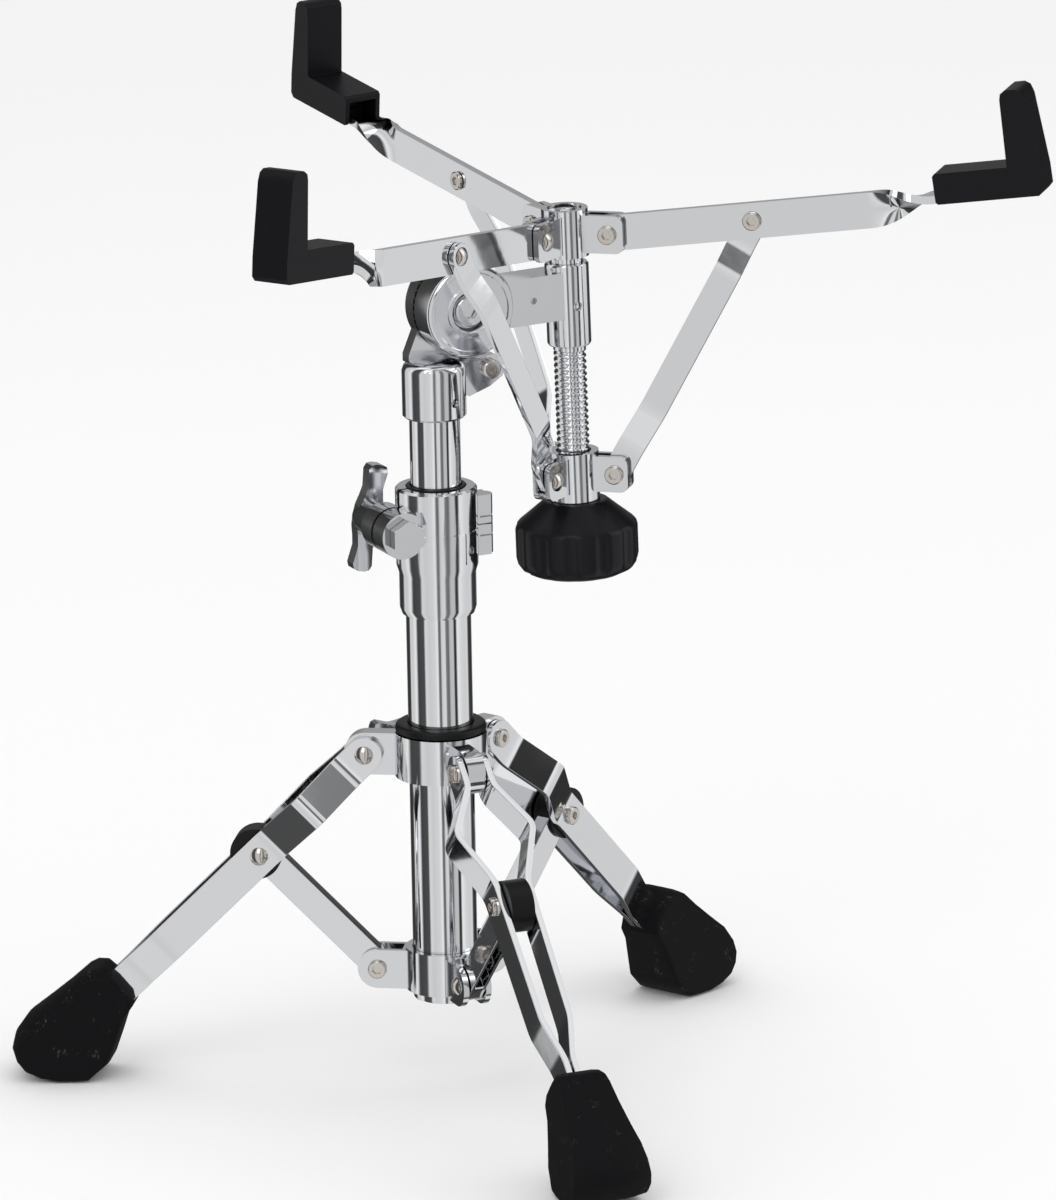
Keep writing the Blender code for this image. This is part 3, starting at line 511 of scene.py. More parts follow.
def socket_screw(name, place, seat, head, shank, length):
    """A screw along local Z with its head's underside at z = seat and a hexagon socket."""
    profile = [(0, seat - length), (shank, seat - length), (shank, seat), (head, seat),
               (head, seat + 2.3 * MM), (head - 0.7 * MM, seat + 3 * MM), (0, seat + 3 * MM)]
    screw = revolve(name, profile, place, SMALL)
    return cut(screw, prism(name + "_socket", hexagon(head * 0.5), seat + 0.8 * MM, seat + 6 * MM, place))


# ---------------------------------------------------------------- post and height clamp

def show_post(stand):
    tube = revolve("lower_tube", tube_profile(TUBE_RADIUS, TUBE_RADIUS - TUBE_WALL, TUBE_BOTTOM, TUBE_TOP),
                   Matrix())
    stand.show(tube, "lower_tube", "chrome")
    inner = revolve("upper_tube", tube_profile(INNER_TUBE_RADIUS, INNER_TUBE_RADIUS - TUBE_WALL,
                                               INNER_TUBE_BOTTOM, INNER_TUBE_TOP), Matrix())
    stand.show(inner, "upper_tube", "chrome")


def show_height_clamp(stand):
    """The split collar on the lower tube, closed on the upper tube by a bolt and a wing nut."""
    profile = [(0, CLAMP_BOTTOM), (CLAMP_SLEEVE_RADIUS - 1 * MM, CLAMP_BOTTOM),
               (CLAMP_SLEEVE_RADIUS, CLAMP_BOTTOM + 3 * MM), (CLAMP_SLEEVE_RADIUS, CLAMP_STEP - 2 * MM),
               (CLAMP_RADIUS, CLAMP_STEP + 1.5 * MM), (CLAMP_RADIUS, CLAMP_TOP - 1 * MM),
               (CLAMP_RADIUS - 1 * MM, CLAMP_TOP), (0, CLAMP_TOP)]
    clamp = revolve("height_clamp", profile, Matrix())
    bolt_place = at(CLAMP_BOLT_X, 0, CLAMP_BOLT_Z) @ turned(90, "X")
    boss = cylinder("clamp_boss", 10.3 * MM, -11.5 * MM, 11.5 * MM, bolt_place, 64)
    hinge = box("clamp_hinge", (14 * MM, -5 * MM, 241 * MM), (24 * MM, 5 * MM, 268 * MM), Matrix())
    knuckle = cylinder("clamp_knuckle", 4.9 * MM, 241.4 * MM, 267.6 * MM, at(21.5 * MM, 0, 0), 48)
    join(clamp, boss, hinge, knuckle)
    bore = cylinder("clamp_bore", 14.6 * MM, 210 * MM, TUBE_TOP + 1 * MM, Matrix())
    upper_bore = cylinder("clamp_upper_bore", 13.4 * MM, TUBE_TOP, 290 * MM, Matrix())
    slit = box("clamp_slit", (-34 * MM, -0.8 * MM, 243 * MM), (-5 * MM, 0.8 * MM, 290 * MM), Matrix())
    hole = cylinder("clamp_bolt_hole", 3.4 * MM, -20 * MM, 20 * MM, bolt_place, SMALL)
    seam = ring_cutter("clamp_seam", 17.6 * MM, 25 * MM, 254.7 * MM, 255.3 * MM)
    front_slot = box("clamp_door_seam", (6 * MM, -19.5 * MM, 241 * MM), (6.6 * MM, -14 * MM, 255 * MM),
                     Matrix())
    small_hole = cylinder("clamp_small_hole", 2.2 * MM, 12 * MM, 30 * MM,
                          turned(-58) @ at(0, 0, 246.5 * MM) @ turned(90, "Y"), SMALL)
    grooves = [box(f"hinge_groove_{z}", (18.5 * MM, -8 * MM, z * MM), (30 * MM, 8 * MM, (z + 0.8) * MM),
                   Matrix()) for z in (249.5, 258.0)]
    cut(clamp, *grooves)
    cut(clamp, bore, upper_bore, slit, hole, seam, front_slot, small_hole)
    stand.show(clamp, "height_clamp", "satin", 0.35 * MM)
    bushing = revolve("clamp_bushing", tube_profile(13.1 * MM, INNER_TUBE_RADIUS + GAP, 252 * MM, 274.6 * MM),
                      Matrix())
    stand.show(bushing, "clamp_bushing", "plastic")
    bolt = prism("clamp_bolt", hexagon(7.9 * MM, 30), 11.8 * MM, 16.8 * MM, bolt_place)
    rim = [(7.2 * MM, 16.9 * MM), (9.5 * MM, 15.4 * MM), (9.5 * MM, 17.4 * MM), (7.2 * MM, 17.4 * MM)]
    chamfer = revolve("clamp_bolt_chamfer", rim, bolt_place, 48)
    join(bolt, cylinder("clamp_bolt_shank", 3.0 * MM, -24 * MM, 13 * MM, bolt_place, SMALL))
    cut(bolt, chamfer)
    stand.show(bolt, "clamp_bolt", "satin", 0.3 * MM)
    nut = wing_head("clamp_wing_nut", bolt_place @ turned(180, "Y"), 11.9 * MM, 13 * MM, 24 * MM, 12)
    stand.show(nut, "clamp_wing_nut", "satin", 1.1 * MM, 3, 30.0)


def ring_cutter(name, inner, outer, bottom, top):
    return revolve(name, tube_profile(outer, inner, bottom, top), Matrix())


def wing_head(name, place, base, hub_length, blade, lean):
    """A hub along local Z from z = base, with two waisted blades across its far end."""
    far = base + hub_length
    hub = revolve(name, [(0, base), (6.6 * MM, base), (8.4 * MM, base + 2.5 * MM), (7.6 * MM, far),
                         (6.5 * MM, far + 5 * MM), (0, far + 5 * MM)], place, 64)
    half = [(-6.0, 0.0), (-5.6, 0.2), (-4.4, 0.38), (-3.6, 0.55), (-4.2, 0.75), (-4.6, 0.88), (-3.6, 0.97),
            (-1.6, 1.0), (1.6, 1.0), (3.6, 0.97), (4.6, 0.88), (4.2, 0.75), (3.6, 0.55), (4.4, 0.38),
            (5.6, 0.2), (6.0, 0.0)]
    outline = [(x * MM, y * blade) for x, y in half]
    outline += [(-x, -y) for x, y in outline[1:-1]]
    blades = prism(name + "_blades", outline, far - 0.5 * MM, far + 6.0 * MM, place @ turned(lean))
    return join(hub, blades)


# ---------------------------------------------------------------- tripod

def show_collar(stand):
    collar = revolve("tripod_collar", [(0, COLLAR_BOTTOM), (COLLAR_RADIUS, COLLAR_BOTTOM),
                                       (COLLAR_RADIUS, COLLAR_TOP), (0, COLLAR_TOP)], Matrix())
    holes = [cylinder("collar_bore", COLLAR_BORE, 130 * MM, 175 * MM, Matrix())]
    lugs = []
    for k, azimuth in enumerate(LEG_AZIMUTHS):
        lug_place = turned(azimuth) @ at(0, 0, TOP_PIVOT_Z) @ turned(90, "X")
        lugs.append(prism(f"collar_lug_{k}", stadium(18 * MM, TOP_PIVOT_R, LUG_HEIGHT / 2),
                          -LUG_HALF, LUG_HALF, lug_place))
        holes.append(pivot_hole(f"collar_lug_hole_{k}", lug_place @ at(TOP_PIVOT_R, 0, 0)))
    radial = turned(WING_BOLT_AZIMUTH) @ at(0, 0, TOP_PIVOT_Z) @ turned(90, "Y")
    lugs.append(cylinder("collar_boss", 7 * MM, 17 * MM, 25 * MM, radial, 64))
    join(collar, *lugs)
    cut(collar, *holes)
    stand.show(collar, "tripod_collar", "satin", 0.6 * MM, 3)
    liner = [(TUBE_RADIUS + GAP, COLLAR_BOTTOM), (COLLAR_BORE - GAP, COLLAR_BOTTOM),
             (COLLAR_BORE - GAP, COLLAR_TOP + GAP), (19.8 * MM, COLLAR_TOP + GAP),
             (20.2 * MM, COLLAR_TOP + 1.5 * MM), (19.8 * MM, COLLAR_TOP + 3.2 * MM),
             (18.6 * MM, COLLAR_TOP + 4 * MM), (TUBE_RADIUS + GAP, COLLAR_TOP + 4 * MM)]
    stand.show(revolve("collar_liner", liner, Matrix()), "collar_liner", "plastic")
    bolt = wing_head("collar_wing_bolt", radial, 25.4 * MM, 9 * MM, 19 * MM, 8)
    join(bolt, cylinder("collar_bolt_shank", 3.0 * MM, 16.5 * MM, 28 * MM, radial, SMALL))
    stand.show(bolt, "collar_wing_bolt", "satin", 1.0 * MM, 3, 30.0)


def show_lower_bracket(stand):
    bracket = cylinder("lower_bracket", BRACKET_RADIUS, BRACKET_BOTTOM, BRACKET_TOP, Matrix())
    forks = []
    cutters = [cylinder("bracket_bore", TUBE_RADIUS + GAP, 30 * MM, 80 * MM, Matrix())]
    for k, azimuth in enumerate(LEG_AZIMUTHS):
        place = turned(azimuth) @ at(0, 0, LOW_PIVOT_Z) @ turned(90, "X")
        forks.append(prism(f"bracket_fork_{k}", stadium(14 * MM, LOW_PIVOT_R, 8.8 * MM), -6.5 * MM, 6.5 * MM,
                           place))
        cutters.append(box(f"bracket_mouth_{k}", (18.6 * MM, -12 * MM, -4 * MM), (45 * MM, 12 * MM, 4 * MM),
                           place))
        cutters.append(pivot_hole(f"bracket_hole_{k}", place @ at(LOW_PIVOT_R, 0, 0)))
    join(bracket, *forks)
    cut(bracket, *cutters)
    stand.show(bracket, "lower_bracket", "satin", 0.5 * MM)


def leg_frame(azimuth):
    """Local X runs down the leg from its top pivot, local Z is sideways, local Y is up the leg's face."""
    slope = math.atan2(TOP_PIVOT_Z - MID_PIVOT_Z, MID_PIVOT_R - TOP_PIVOT_R)
    down = Vector((math.cos(slope), 0, -math.sin(slope)))
    return turned(azimuth) @ at(TOP_PIVOT_R, 0, TOP_PIVOT_Z) @ axes(down, Vector((0, 1, 0)))


def show_leg(stand, k, azimuth):
    frame = leg_frame(azimuth)
    mid = math.hypot(MID_PIVOT_R - TOP_PIVOT_R, MID_PIVOT_Z - TOP_PIVOT_Z)
    for side, letter in ((1, "a"), (-1, "b")):
        stations = [(0, 5.8), (11, 5.8), (33, 18.0), (59, 7.4), (mid / MM + 8, 7.2), (128, 6.6),
                    (147, 1.9), (STRIP_LENGTH / MM, 1.9)]
        path = [(x * MM, side * z * MM) for x, z in stations]
        strip = bent_strip(f"leg_{k}_strip_{letter}", path, STRIP_WIDTH / 2, STRIP_THICK, frame,
                           (True, False))
        cut(strip, cylinder(f"leg_{k}_top_hole_{letter}", PIN_HOLE, -12 * MM, 12 * MM, frame, SMALL),
            cylinder(f"leg_{k}_mid_hole_{letter}", PIN_HOLE, -12 * MM, 12 * MM, frame @ at(mid, 0, 0), SMALL))
        stand.show(strip, f"leg_{k}_strip_{letter}", "chrome", 0.45 * MM)
    show_pin(stand, f"leg_{k}_top_pin", frame, -7.3 * MM, 7.3 * MM, -1)
    show_pin(stand, f"leg_{k}_mid_pin", frame @ at(mid, 0, 0), -8.8 * MM, 8.8 * MM, -1)
    show_foot(stand, k, azimuth)


def show_foot(stand, k, azimuth):
    """A rubber boot: a wedge that widens towards its outer end, rounded all over."""
    outline = [(160, 0.5), (167, 0), (175, 0), (183, 1.5), (190, 4.5), (194, 9), (195.5, 14), (194, 20),
               (189, 27), (180, 34), (170, 42), (162, 49), (158, 51), (153, 51), (147, 46), (141, 39),
               (140, 34), (144, 28), (147, 19), (151, 8)]
    centre = Vector((168.0, 24.0))
    bm = bmesh.new()
    rows = []
    for f, shrink in ((-1.0, 0.90), (-0.97, 0.955), (-0.9, 0.985), (-0.6, 1.0), (-0.3, 1.0), (0.0, 1.0),
                      (0.3, 1.0), (0.6, 1.0), (0.9, 0.985), (0.97, 0.955), (1.0, 0.90)):
        row = []
        for r, z in outline:
            half = 10.0 + 5.6 * (max(r - 140, 0) / 58) ** 1.3 + 4.6 * max(1 - z / 52, 0) ** 1.6
            point = centre + (Vector((r, z)) - centre) * shrink
            bow = 3.2 * f * f * max(r - 154, 0) / 45
            height = max(point.y, 0.0)
            row.append(bm.verts.new(((point.x - bow) * MM, f * half * MM, height * MM)))
        rows.append(row)
    skin(bm, rows, False)
    for row in (rows[0], rows[-1]):
        bm.faces.new(row)
    foot = mesh_object(f"foot_{k}", bm, turned(azimuth))
    stand.show(foot, f"foot_{k}", "foot", 0.8 * MM, 3, 50.0)


def show_brace(stand, k, azimuth):
    low = Vector((LOW_PIVOT_R, 0, LOW_PIVOT_Z))
    high = Vector((MID_PIVOT_R, 0, MID_PIVOT_Z))
    frame = turned(azimuth) @ at(*low) @ axes((high - low).normalized(), Vector((0, 1, 0)))
    length = (high - low).length
    half = BRACE_THICK / 2
    brace = prism(f"brace_{k}", stadium(0, length, BRACE_WIDTH / 2), -half, half, frame)
    channel = box(f"brace_channel_{k}", (9 * MM, -4.7 * MM, -2.1 * MM), (length - 13 * MM, 10 * MM, 2.1 * MM),
                  frame)
    cut(brace, channel, pivot_hole(f"brace_low_hole_{k}", frame),
        open_pivot_slot(f"brace_slot_{k}", frame, length))
    stand.show(brace, f"brace_{k}", "chrome")
    cap = cylinder(f"brace_cap_{k}", 11.5 * MM, -5.3 * MM, 5.3 * MM,
                   frame @ at(length + 1.5 * MM, 1.5 * MM, 0), 72)
    pocket = prism(f"brace_cap_pocket_{k}", stadium(length - 40 * MM, length, BRACE_WIDTH / 2 + GAP),
                   -half - GAP, half + GAP, frame)
    cut(cap, pocket, open_pivot_slot(f"brace_cap_slot_{k}", frame, length))
    stand.show(cap, f"brace_cap_{k}", "plastic", 1.0 * MM, 3, 40.0)
    show_pin(stand, f"brace_{k}_low_pin", frame, -6.7 * MM, 6.7 * MM, 1)


def open_pivot_slot(name, frame, length):
    """The brace's upper hole is a slot: folding shifts the leg's pin a few millimetres in it."""
    tilt = math.degrees(math.atan2(2.1, 3.4))
    return prism(name, stadium(-3.6 * MM, 0, 2.9 * MM), -9 * MM, 9 * MM,
                 frame @ at(length, 0, 0) @ turned(-tilt))


# ---------------------------------------------------------------- tilter

def basket_frame():
    return at(ROD_X, 0, HUB_Z) @ turned(BASKET_TILT, "Y")


def show_tilter_base(stand):
    """The cap on the upper tube, with the flange disc and the lug for the locking screw."""
    profile = [(0, CAP_BOTTOM), (CAP_RADIUS - 1 * MM, CAP_BOTTOM), (CAP_RADIUS, CAP_BOTTOM + 1 * MM),
               (CAP_RADIUS, CAP_TOP - 4 * MM), (CAP_RADIUS - 0.8 * MM, CAP_TOP - 1.8 * MM),
               (CAP_RADIUS - 2.4 * MM, CAP_TOP - 0.4 * MM), (CAP_RADIUS - 5 * MM, CAP_TOP), (0, CAP_TOP)]
    cap = revolve("tilter_cap", profile, Matrix())
    tilt_place = at(TILT_X, 0, TILT_Z) @ turned(90, "X")
    flange = cylinder("tilter_flange", DISC_RADIUS, -12.5 * MM, -4.6 * MM, tilt_place)
    neck = prism("tilter_neck", [(-9.5 * MM, 328.5 * MM), (24 * MM, 328.5 * MM), (26 * MM, 338 * MM),
                                 (22 * MM, 345 * MM), (-4 * MM, 345 * MM), (-9.5 * MM, 332 * MM)],
                 -11.5 * MM, -4.8 * MM, turned(90, "X"))
    lug = prism("tilter_lug", [(8 * MM, 316 * MM), (14 * MM, 313.5 * MM), (24 * MM, 317 * MM),
                               (30 * MM, 321 * MM), (31.5 * MM, 325 * MM), (30 * MM, 329 * MM),
                               (26 * MM, 331 * MM), (8 * MM, 329 * MM)], -4.6 * MM, 6.5 * MM, turned(90, "X"))
    join(cap, flange, neck, lug)
    screw_place = at(24 * MM, 0, 325.0 * MM) @ turned(90, "X")
    cut(cap, cylinder("cap_bore", INNER_TUBE_RADIUS + GAP, 290 * MM, INNER_TUBE_TOP + GAP, Matrix()),
        cylinder("flange_hole", 5.3 * MM, -20 * MM, 0, tilt_place, SMALL),
        cylinder("lug_hole", 2.3 * MM, -1.8 * MM, 10 * MM, screw_place, SMALL),
        cylinder("cap_set_hole", 2.0 * MM, 5 * MM, 20 * MM, at(4 * MM, 0, 313 * MM) @ turned(90, "X"), SMALL))
    stand.show(cap, "tilter_cap", "satin", 0.7 * MM, 3, 40.0)
    screw = socket_screw("tilter_lock_screw", screw_place, 6.7 * MM, 4.2 * MM, 2.0 * MM, 8 * MM)
    stand.show(screw, "tilter_lock_screw", "nickel", 0.2 * MM)
    bolt = socket_screw("tilter_bolt", tilt_place, 8.0 * MM, 7.0 * MM, 5.0 * MM, 22.5 * MM)
    stand.show(bolt, "tilter_bolt", "satin", 0.3 * MM)
    teeth = tooth_ring("tilter_teeth", tilt_place, 18.9 * MM, 9.0 * MM, -4.7 * MM, -2.9 * MM)
    stand.show(teeth, "tilter_cap", "teeth", 0.0, replace=False)


def tooth_ring(name, place, outer, inner, low, high):
    """A ring whose rim is cut into fine radial teeth."""
    bm = bmesh.new()
    count = 144
    rings = []
    for radius, z in ((inner, low), (None, low), (None, high), (inner, high)):
        ring = []
        for i in range(count):
            size = radius if radius else outer - (0.9 * MM if i % 4 < 2 else 0.0)
            x, y = polar(size, 2 * math.pi * i / count)
            ring.append(bm.verts.new((x, y, z)))
        rings.append(ring)
    skin(bm, rings, True)
    return mesh_object(name, bm, place)


def show_tilter_arm(stand):
    """Serrated disc, short arm and the sleeve that holds the basket rod, as one casting."""
    frame = basket_frame()
    centre = frame.inverted() @ Vector((TILT_X, 0, TILT_Z))
    disc_place = frame @ at(*centre) @ turned(90, "X")
    profile = [(5.3, -2.8), (20.7, -2.8), (20.7, 10.2), (20.2, 11.3), (19.2, 12.0), (17.6, 12.0),
               (17.2, 11.4), (11.4, 11.4), (11.0, 12.0), (9.4, 12.0), (8.6, 11.2), (8.2, 10.0),
               (8.0, 7.5), (5.3, 7.5)]
    arm = revolve("tilter_arm", [(r * MM, z * MM) for r, z in profile], disc_place)
    block = box("tilter_block", (centre.x + 17 * MM, -8 * MM, -37.5 * MM),
                (-3 * MM, 8 * MM, -16.5 * MM), frame)
    room = cylinder("tilter_flange_room", DISC_RADIUS + 2 * GAP, -16 * MM, -2.8 * MM, disc_place)
    cut(block, room)
    sleeve_profile = [(0, SLEEVE_BOTTOM), (9.0 * MM, SLEEVE_BOTTOM), (SLEEVE_RADIUS, SLEEVE_BOTTOM + 1 * MM),
                      (SLEEVE_RADIUS, SLEEVE_TOP - 1 * MM), (9.0 * MM, SLEEVE_TOP), (0, SLEEVE_TOP)]
    sleeve = revolve("tilter_sleeve", sleeve_profile, frame)
    join(arm, block, sleeve)
    front = at(0.4 * MM, 0, -32 * MM) @ turned(90, "X")
    cut(arm, cylinder("block_set_hole", 1.5 * MM, 4 * MM, 15 * MM, frame @ at(-20 * MM, 0, -27 * MM)
                      @ turned(90, "X"), SMALL),
        cylinder("sleeve_set_hole", 2.0 * MM, 1 * MM, 15 * MM, frame @ front, SMALL),
        cylinder("tilter_rod_bore", ROD_RADIUS + GAP, SLEEVE_BOTTOM - 5 * MM, SLEEVE_TOP + 5 * MM, frame))
    stand.show(arm, "tilter_arm", "satin", 0.6 * MM, 3)
    show_rod(stand, frame)


def show_rod(stand, frame):
    """The basket rod: a tube, threaded between the sleeve and the knob."""
    pitch = 2.8
    bottom, thread_low, thread_high = ROD_BOTTOM / MM, -119.0, -53.0
    root, crest = 6.35, ROD_RADIUS / MM
    bore = 4.6
    count = 72
    steps = 8
    heights = [(bottom, False), (thread_low - 0.2, False)]
    turns = int((thread_high - thread_low) / pitch * steps)
    heights += [(thread_low + pitch * i / steps, True) for i in range(turns + 1)]
    heights += [(thread_high + 0.4, False), (8.0, False)]
    bm = bmesh.new()
    rings = [[bm.verts.new((x * MM, y * MM, bottom * MM)) for x, y in circle_points(bore, count)]]
    for z, threaded in heights:
        ring = []
        for i in range(count):
            phase = (z / pitch + i / count) % 1.0
            wave = min(1.0, max(0.0, abs(phase - 0.5) * 4 - 0.5))
            radius = root + (crest - root) * wave if threaded else crest
            x, y = polar(radius, 2 * math.pi * i / count)
            ring.append(bm.verts.new((x * MM, y * MM, z * MM)))
        rings.append(ring)
    for radius, z in ((6.6, 8.6), (5.4, 8.6), (bore, 8.0)):
        rings.append([bm.verts.new((x * MM, y * MM, z * MM)) for x, y in circle_points(radius, count)])
    skin(bm, rings, True)
    rod = mesh_object("basket_rod", bm, frame)
    stand.show(rod, "basket_rod", "chrome", 0.0)


# ---------------------------------------------------------------- basket

def forked_hub(name, outer, bore, low, high, pivot_r, pivot_z, reach, half_height, mouth_half, cheek):
    """A short sleeve on the rod with three forks, one for each arm or strut."""
    frame = basket_frame()
    hub = cylinder(name, outer, low, high, frame)
    forks = []
    cutters = [cylinder(name + "_bore", bore, low - 5 * MM, high + 5 * MM, frame)]
    for k, azimuth in enumerate(ARM_AZIMUTHS):
        place = frame @ turned(azimuth) @ at(0, 0, pivot_z) @ turned(90, "X")
        corner = 3.5 * MM
        outline = [(5 * MM, -half_height)]
        for sign, start in ((-1, -90), (1, 0)):
            cy = sign * (half_height - corner)
            for x, y in circle_points(corner, 7, math.radians(start), math.pi / 2):
                outline.append((reach - corner + x, cy + y))
        outline.append((5 * MM, half_height))
        side = mouth_half + cheek
        forks.append(prism(f"{name}_fork_{k}", outline, -side, side, place))
        cutters.append(box(f"{name}_mouth_{k}", (11.0 * MM, -half_height - 5 * MM, -mouth_half),
                           (reach + 5 * MM, half_height + 5 * MM, mouth_half), place))
        cutters.append(pivot_hole(f"{name}_hole_{k}", place @ at(pivot_r, 0, 0)))
    join(hub, *forks)
    cut(hub, *cutters)
    return hub


def show_hubs(stand):
    upper = forked_hub("upper_hub", 10.2 * MM, ROD_RADIUS + GAP, -10.5 * MM, 10.7 * MM, ARM_PIVOT_R, 0.0,
                       27.6 * MM, 8.4 * MM, 2.15 * MM, 2.6 * MM)
    stand.show(upper, "upper_hub", "satin", 0.45 * MM)
    lower = forked_hub("lower_hub", 11.0 * MM, ROD_RADIUS + 2 * GAP, KNOB_TOP + GAP, STRUT_FOOT_Z + 9.5 * MM,
                       STRUT_FOOT_R, STRUT_FOOT_Z, 25.8 * MM, 8.0 * MM, 1.85 * MM, 2.6 * MM)
    stand.show(lower, "lower_hub", "satin", 0.45 * MM)
    frame = basket_frame()
    for k, azimuth in enumerate(ARM_AZIMUTHS):
        radial = frame @ turned(azimuth)
        side = STRUT_SIDES[k]
        show_pin(stand, f"arm_{k}_hub_pin", radial @ at(ARM_PIVOT_R, 0, 0) @ turned(90, "X"),
                 -4.95 * MM, 4.95 * MM, side)
        show_pin(stand, f"strut_{k}_hub_pin", radial @ at(STRUT_FOOT_R, 0, STRUT_FOOT_Z) @ turned(90, "X"),
                 -4.65 * MM, 4.65 * MM, side)


def strut_top():
    """The strut's pivot on the arm: its radius and height in the basket frame."""
    rise = math.radians(ARM_RISE)
    return ARM_PIVOT_R + STRUT_REACH * math.cos(rise), STRUT_REACH * math.sin(rise)


def arm_frame(azimuth):
    """Local X runs out along the arm from its pivot, local Z is up across it."""
    return basket_frame() @ turned(azimuth) @ at(ARM_PIVOT_R, 0, 0) @ turned(-ARM_RISE, "Y")


def arm_stations():
    """The arm's middle line from its pivot: distance, height, twist in degrees and half width."""
    half_w = ARM_WIDTH / 2
    stations = [(0.0, 0.0, 0.0, half_w), (ARM_TWIST_START, 0.0, 0.0, half_w)]
    steps = 20
    for i in range(1, steps + 1):
        t = i / steps
        ease = t * t * (3 - 2 * t)
        x = ARM_TWIST_START + (ARM_TWIST_END - ARM_TWIST_START) * t
        stations.append((x, FLAT_END_Z * ease, 90 * ease, half_w + (FLAT_END_HALF - half_w) * ease))
    stations.append((ARM_END, FLAT_END_Z, 90.0, FLAT_END_HALF))
    return stations


def show_arm(stand, k, azimuth):
    """An arm: an upright bar that twists flat near its end and carries the drum grip."""
    frame = arm_frame(azimuth)
    half_t = ARM_THICK / 2
    bm = bmesh.new()
    rings = []
    for x, z, twist, width in arm_stations():
        turn = math.radians(twist)
        up = Vector((0, -math.sin(turn), math.cos(turn)))
        side = Vector((0, math.cos(turn), math.sin(turn)))
        centre = Vector((x, 0, z))
        corners = [centre + up * a * width + side * b * half_t
                   for a, b in ((1, 1), (0.33, 1), (-0.33, 1), (-1, 1),
                                (-1, -1), (-0.33, -1), (0.33, -1), (1, -1))]
        rings.append([bm.verts.new(c) for c in corners])
    skin(bm, rings, False)
    bm.faces.new(rings[-1])
    round_nose(bm, rings[0], ARM_WIDTH / 2)
    arm = mesh_object(f"basket_arm_{k}", bm, frame)
    pin_place = frame @ at(STRUT_REACH, 0, 0) @ turned(90, "X")
    cut(arm, pivot_hole(f"arm_strut_hole_{k}", pin_place),
        pivot_hole(f"arm_hub_hole_{k}", frame @ turned(90, "X")))
    stand.show(arm, f"basket_arm_{k}", "chrome", 0.4 * MM, angle=50.0)
    side = STRUT_SIDES[k]
    low, high = sorted((-side * 5.1 * MM, side * 2.05 * MM))
    show_pin(stand, f"arm_{k}_strut_pin", pin_place, low, high, side, 1.9 * MM)
    show_grip(stand, k, frame)


def round_nose(bm, ring, radius):
    """Close the arm's hub end with a half disc on each face."""
    arc = 16
    sides = []
    for index, last in ((0, 3), (7, 4)):
        start, stop = ring[index], ring[last]
        chain = [start]
        for i in range(1, arc):
            angle = math.pi / 2 + math.pi * i / arc
            chain.append(bm.verts.new((radius * math.cos(angle), start.co.y, radius * math.sin(angle))))
        chain.append(stop)
        sides.append(chain)
    bm.faces.new(sides[0] + [ring[2], ring[1]])
    bm.faces.new(sides[1] + [ring[5], ring[6]])
    for i in range(arc):
        bm.faces.new((sides[0][i], sides[1][i], sides[1][i + 1], sides[0][i + 1]))


def show_grip(stand, k, frame):
    """An L-shaped rubber grip with rounded edges: a foot for the drum and an upright."""
    bottom = FLAT_END_Z - ARM_THICK / 2
    top = bottom + GRIP_HEIGHT
    seat = bottom + GRIP_BASE_HEIGHT
    outer_top = GRIP_OUTER - 2.5 * MM
    outline = [(GRIP_INNER + 1 * MM, bottom), (GRIP_OUTER - 2 * MM, bottom), (GRIP_OUTER, bottom + 2 * MM),
               (GRIP_OUTER, seat - 3 * MM), (outer_top, top - 5 * MM), (outer_top - 1.2 * MM, top - 1.5 * MM),
               (outer_top - 3.5 * MM, top), (GRIP_WALL + 4 * MM, top), (GRIP_WALL + 1.6 * MM, top - 1.5 * MM),
               (GRIP_WALL + 1 * MM, top - 4 * MM), (GRIP_WALL, seat), (GRIP_INNER + 1.2 * MM, seat),
               (GRIP_INNER, seat - 1.2 * MM), (GRIP_INNER, bottom + 1 * MM)]
    half = GRIP_WIDTH / 2
    grip = prism(f"grip_{k}", outline, -half, half, frame @ turned(90, "X"))
    room = FLAT_END_HALF + GAP
    cut(grip,
        box(f"grip_pocket_{k}", (GRIP_INNER - 5 * MM, -room, bottom - 5 * MM),
            (ARM_END + GAP, room, FLAT_END_Z + ARM_THICK / 2 + GAP), frame),
        box(f"grip_hollow_{k}", (GRIP_INNER - 5 * MM, -room - GAP, bottom - 5 * MM),
            (GRIP_INNER + 12 * MM, room + GAP, bottom + 10.5 * MM), frame))
    stand.show(grip, f"grip_{k}", "grip", 1.1 * MM, 4, 40.0)


def show_strut(stand, k, azimuth):
    """A strut from the lower hub up to its arm, bowed sideways to clear the tilter."""
    frame = basket_frame() @ turned(azimuth)
    top_r, top_z = strut_top()
    foot = Vector((STRUT_FOOT_R, 0, STRUT_FOOT_Z))
    head = Vector((top_r, 0, top_z))
    place = frame @ at(*foot) @ axes((head - foot).normalized(), Vector((0, STRUT_SIDES[k], 0)))
    length = (head - foot).length
    path = [(0, 0), (13 * MM, 0), (31 * MM, 7.6 * MM), (length - 29 * MM, 7.6 * MM),
            (length - 13 * MM, 3.5 * MM), (length, 3.5 * MM)]
    strut = bent_strip(f"strut_{k}", path, STRUT_WIDTH / 2, STRUT_THICK, place)
    cut(strut, pivot_hole(f"strut_low_hole_{k}", place),
        pivot_hole(f"strut_top_hole_{k}", place @ at(length, 0, 0), STRUT_TOP_HOLE))
    stand.show(strut, f"strut_{k}", "chrome", 0.4 * MM)


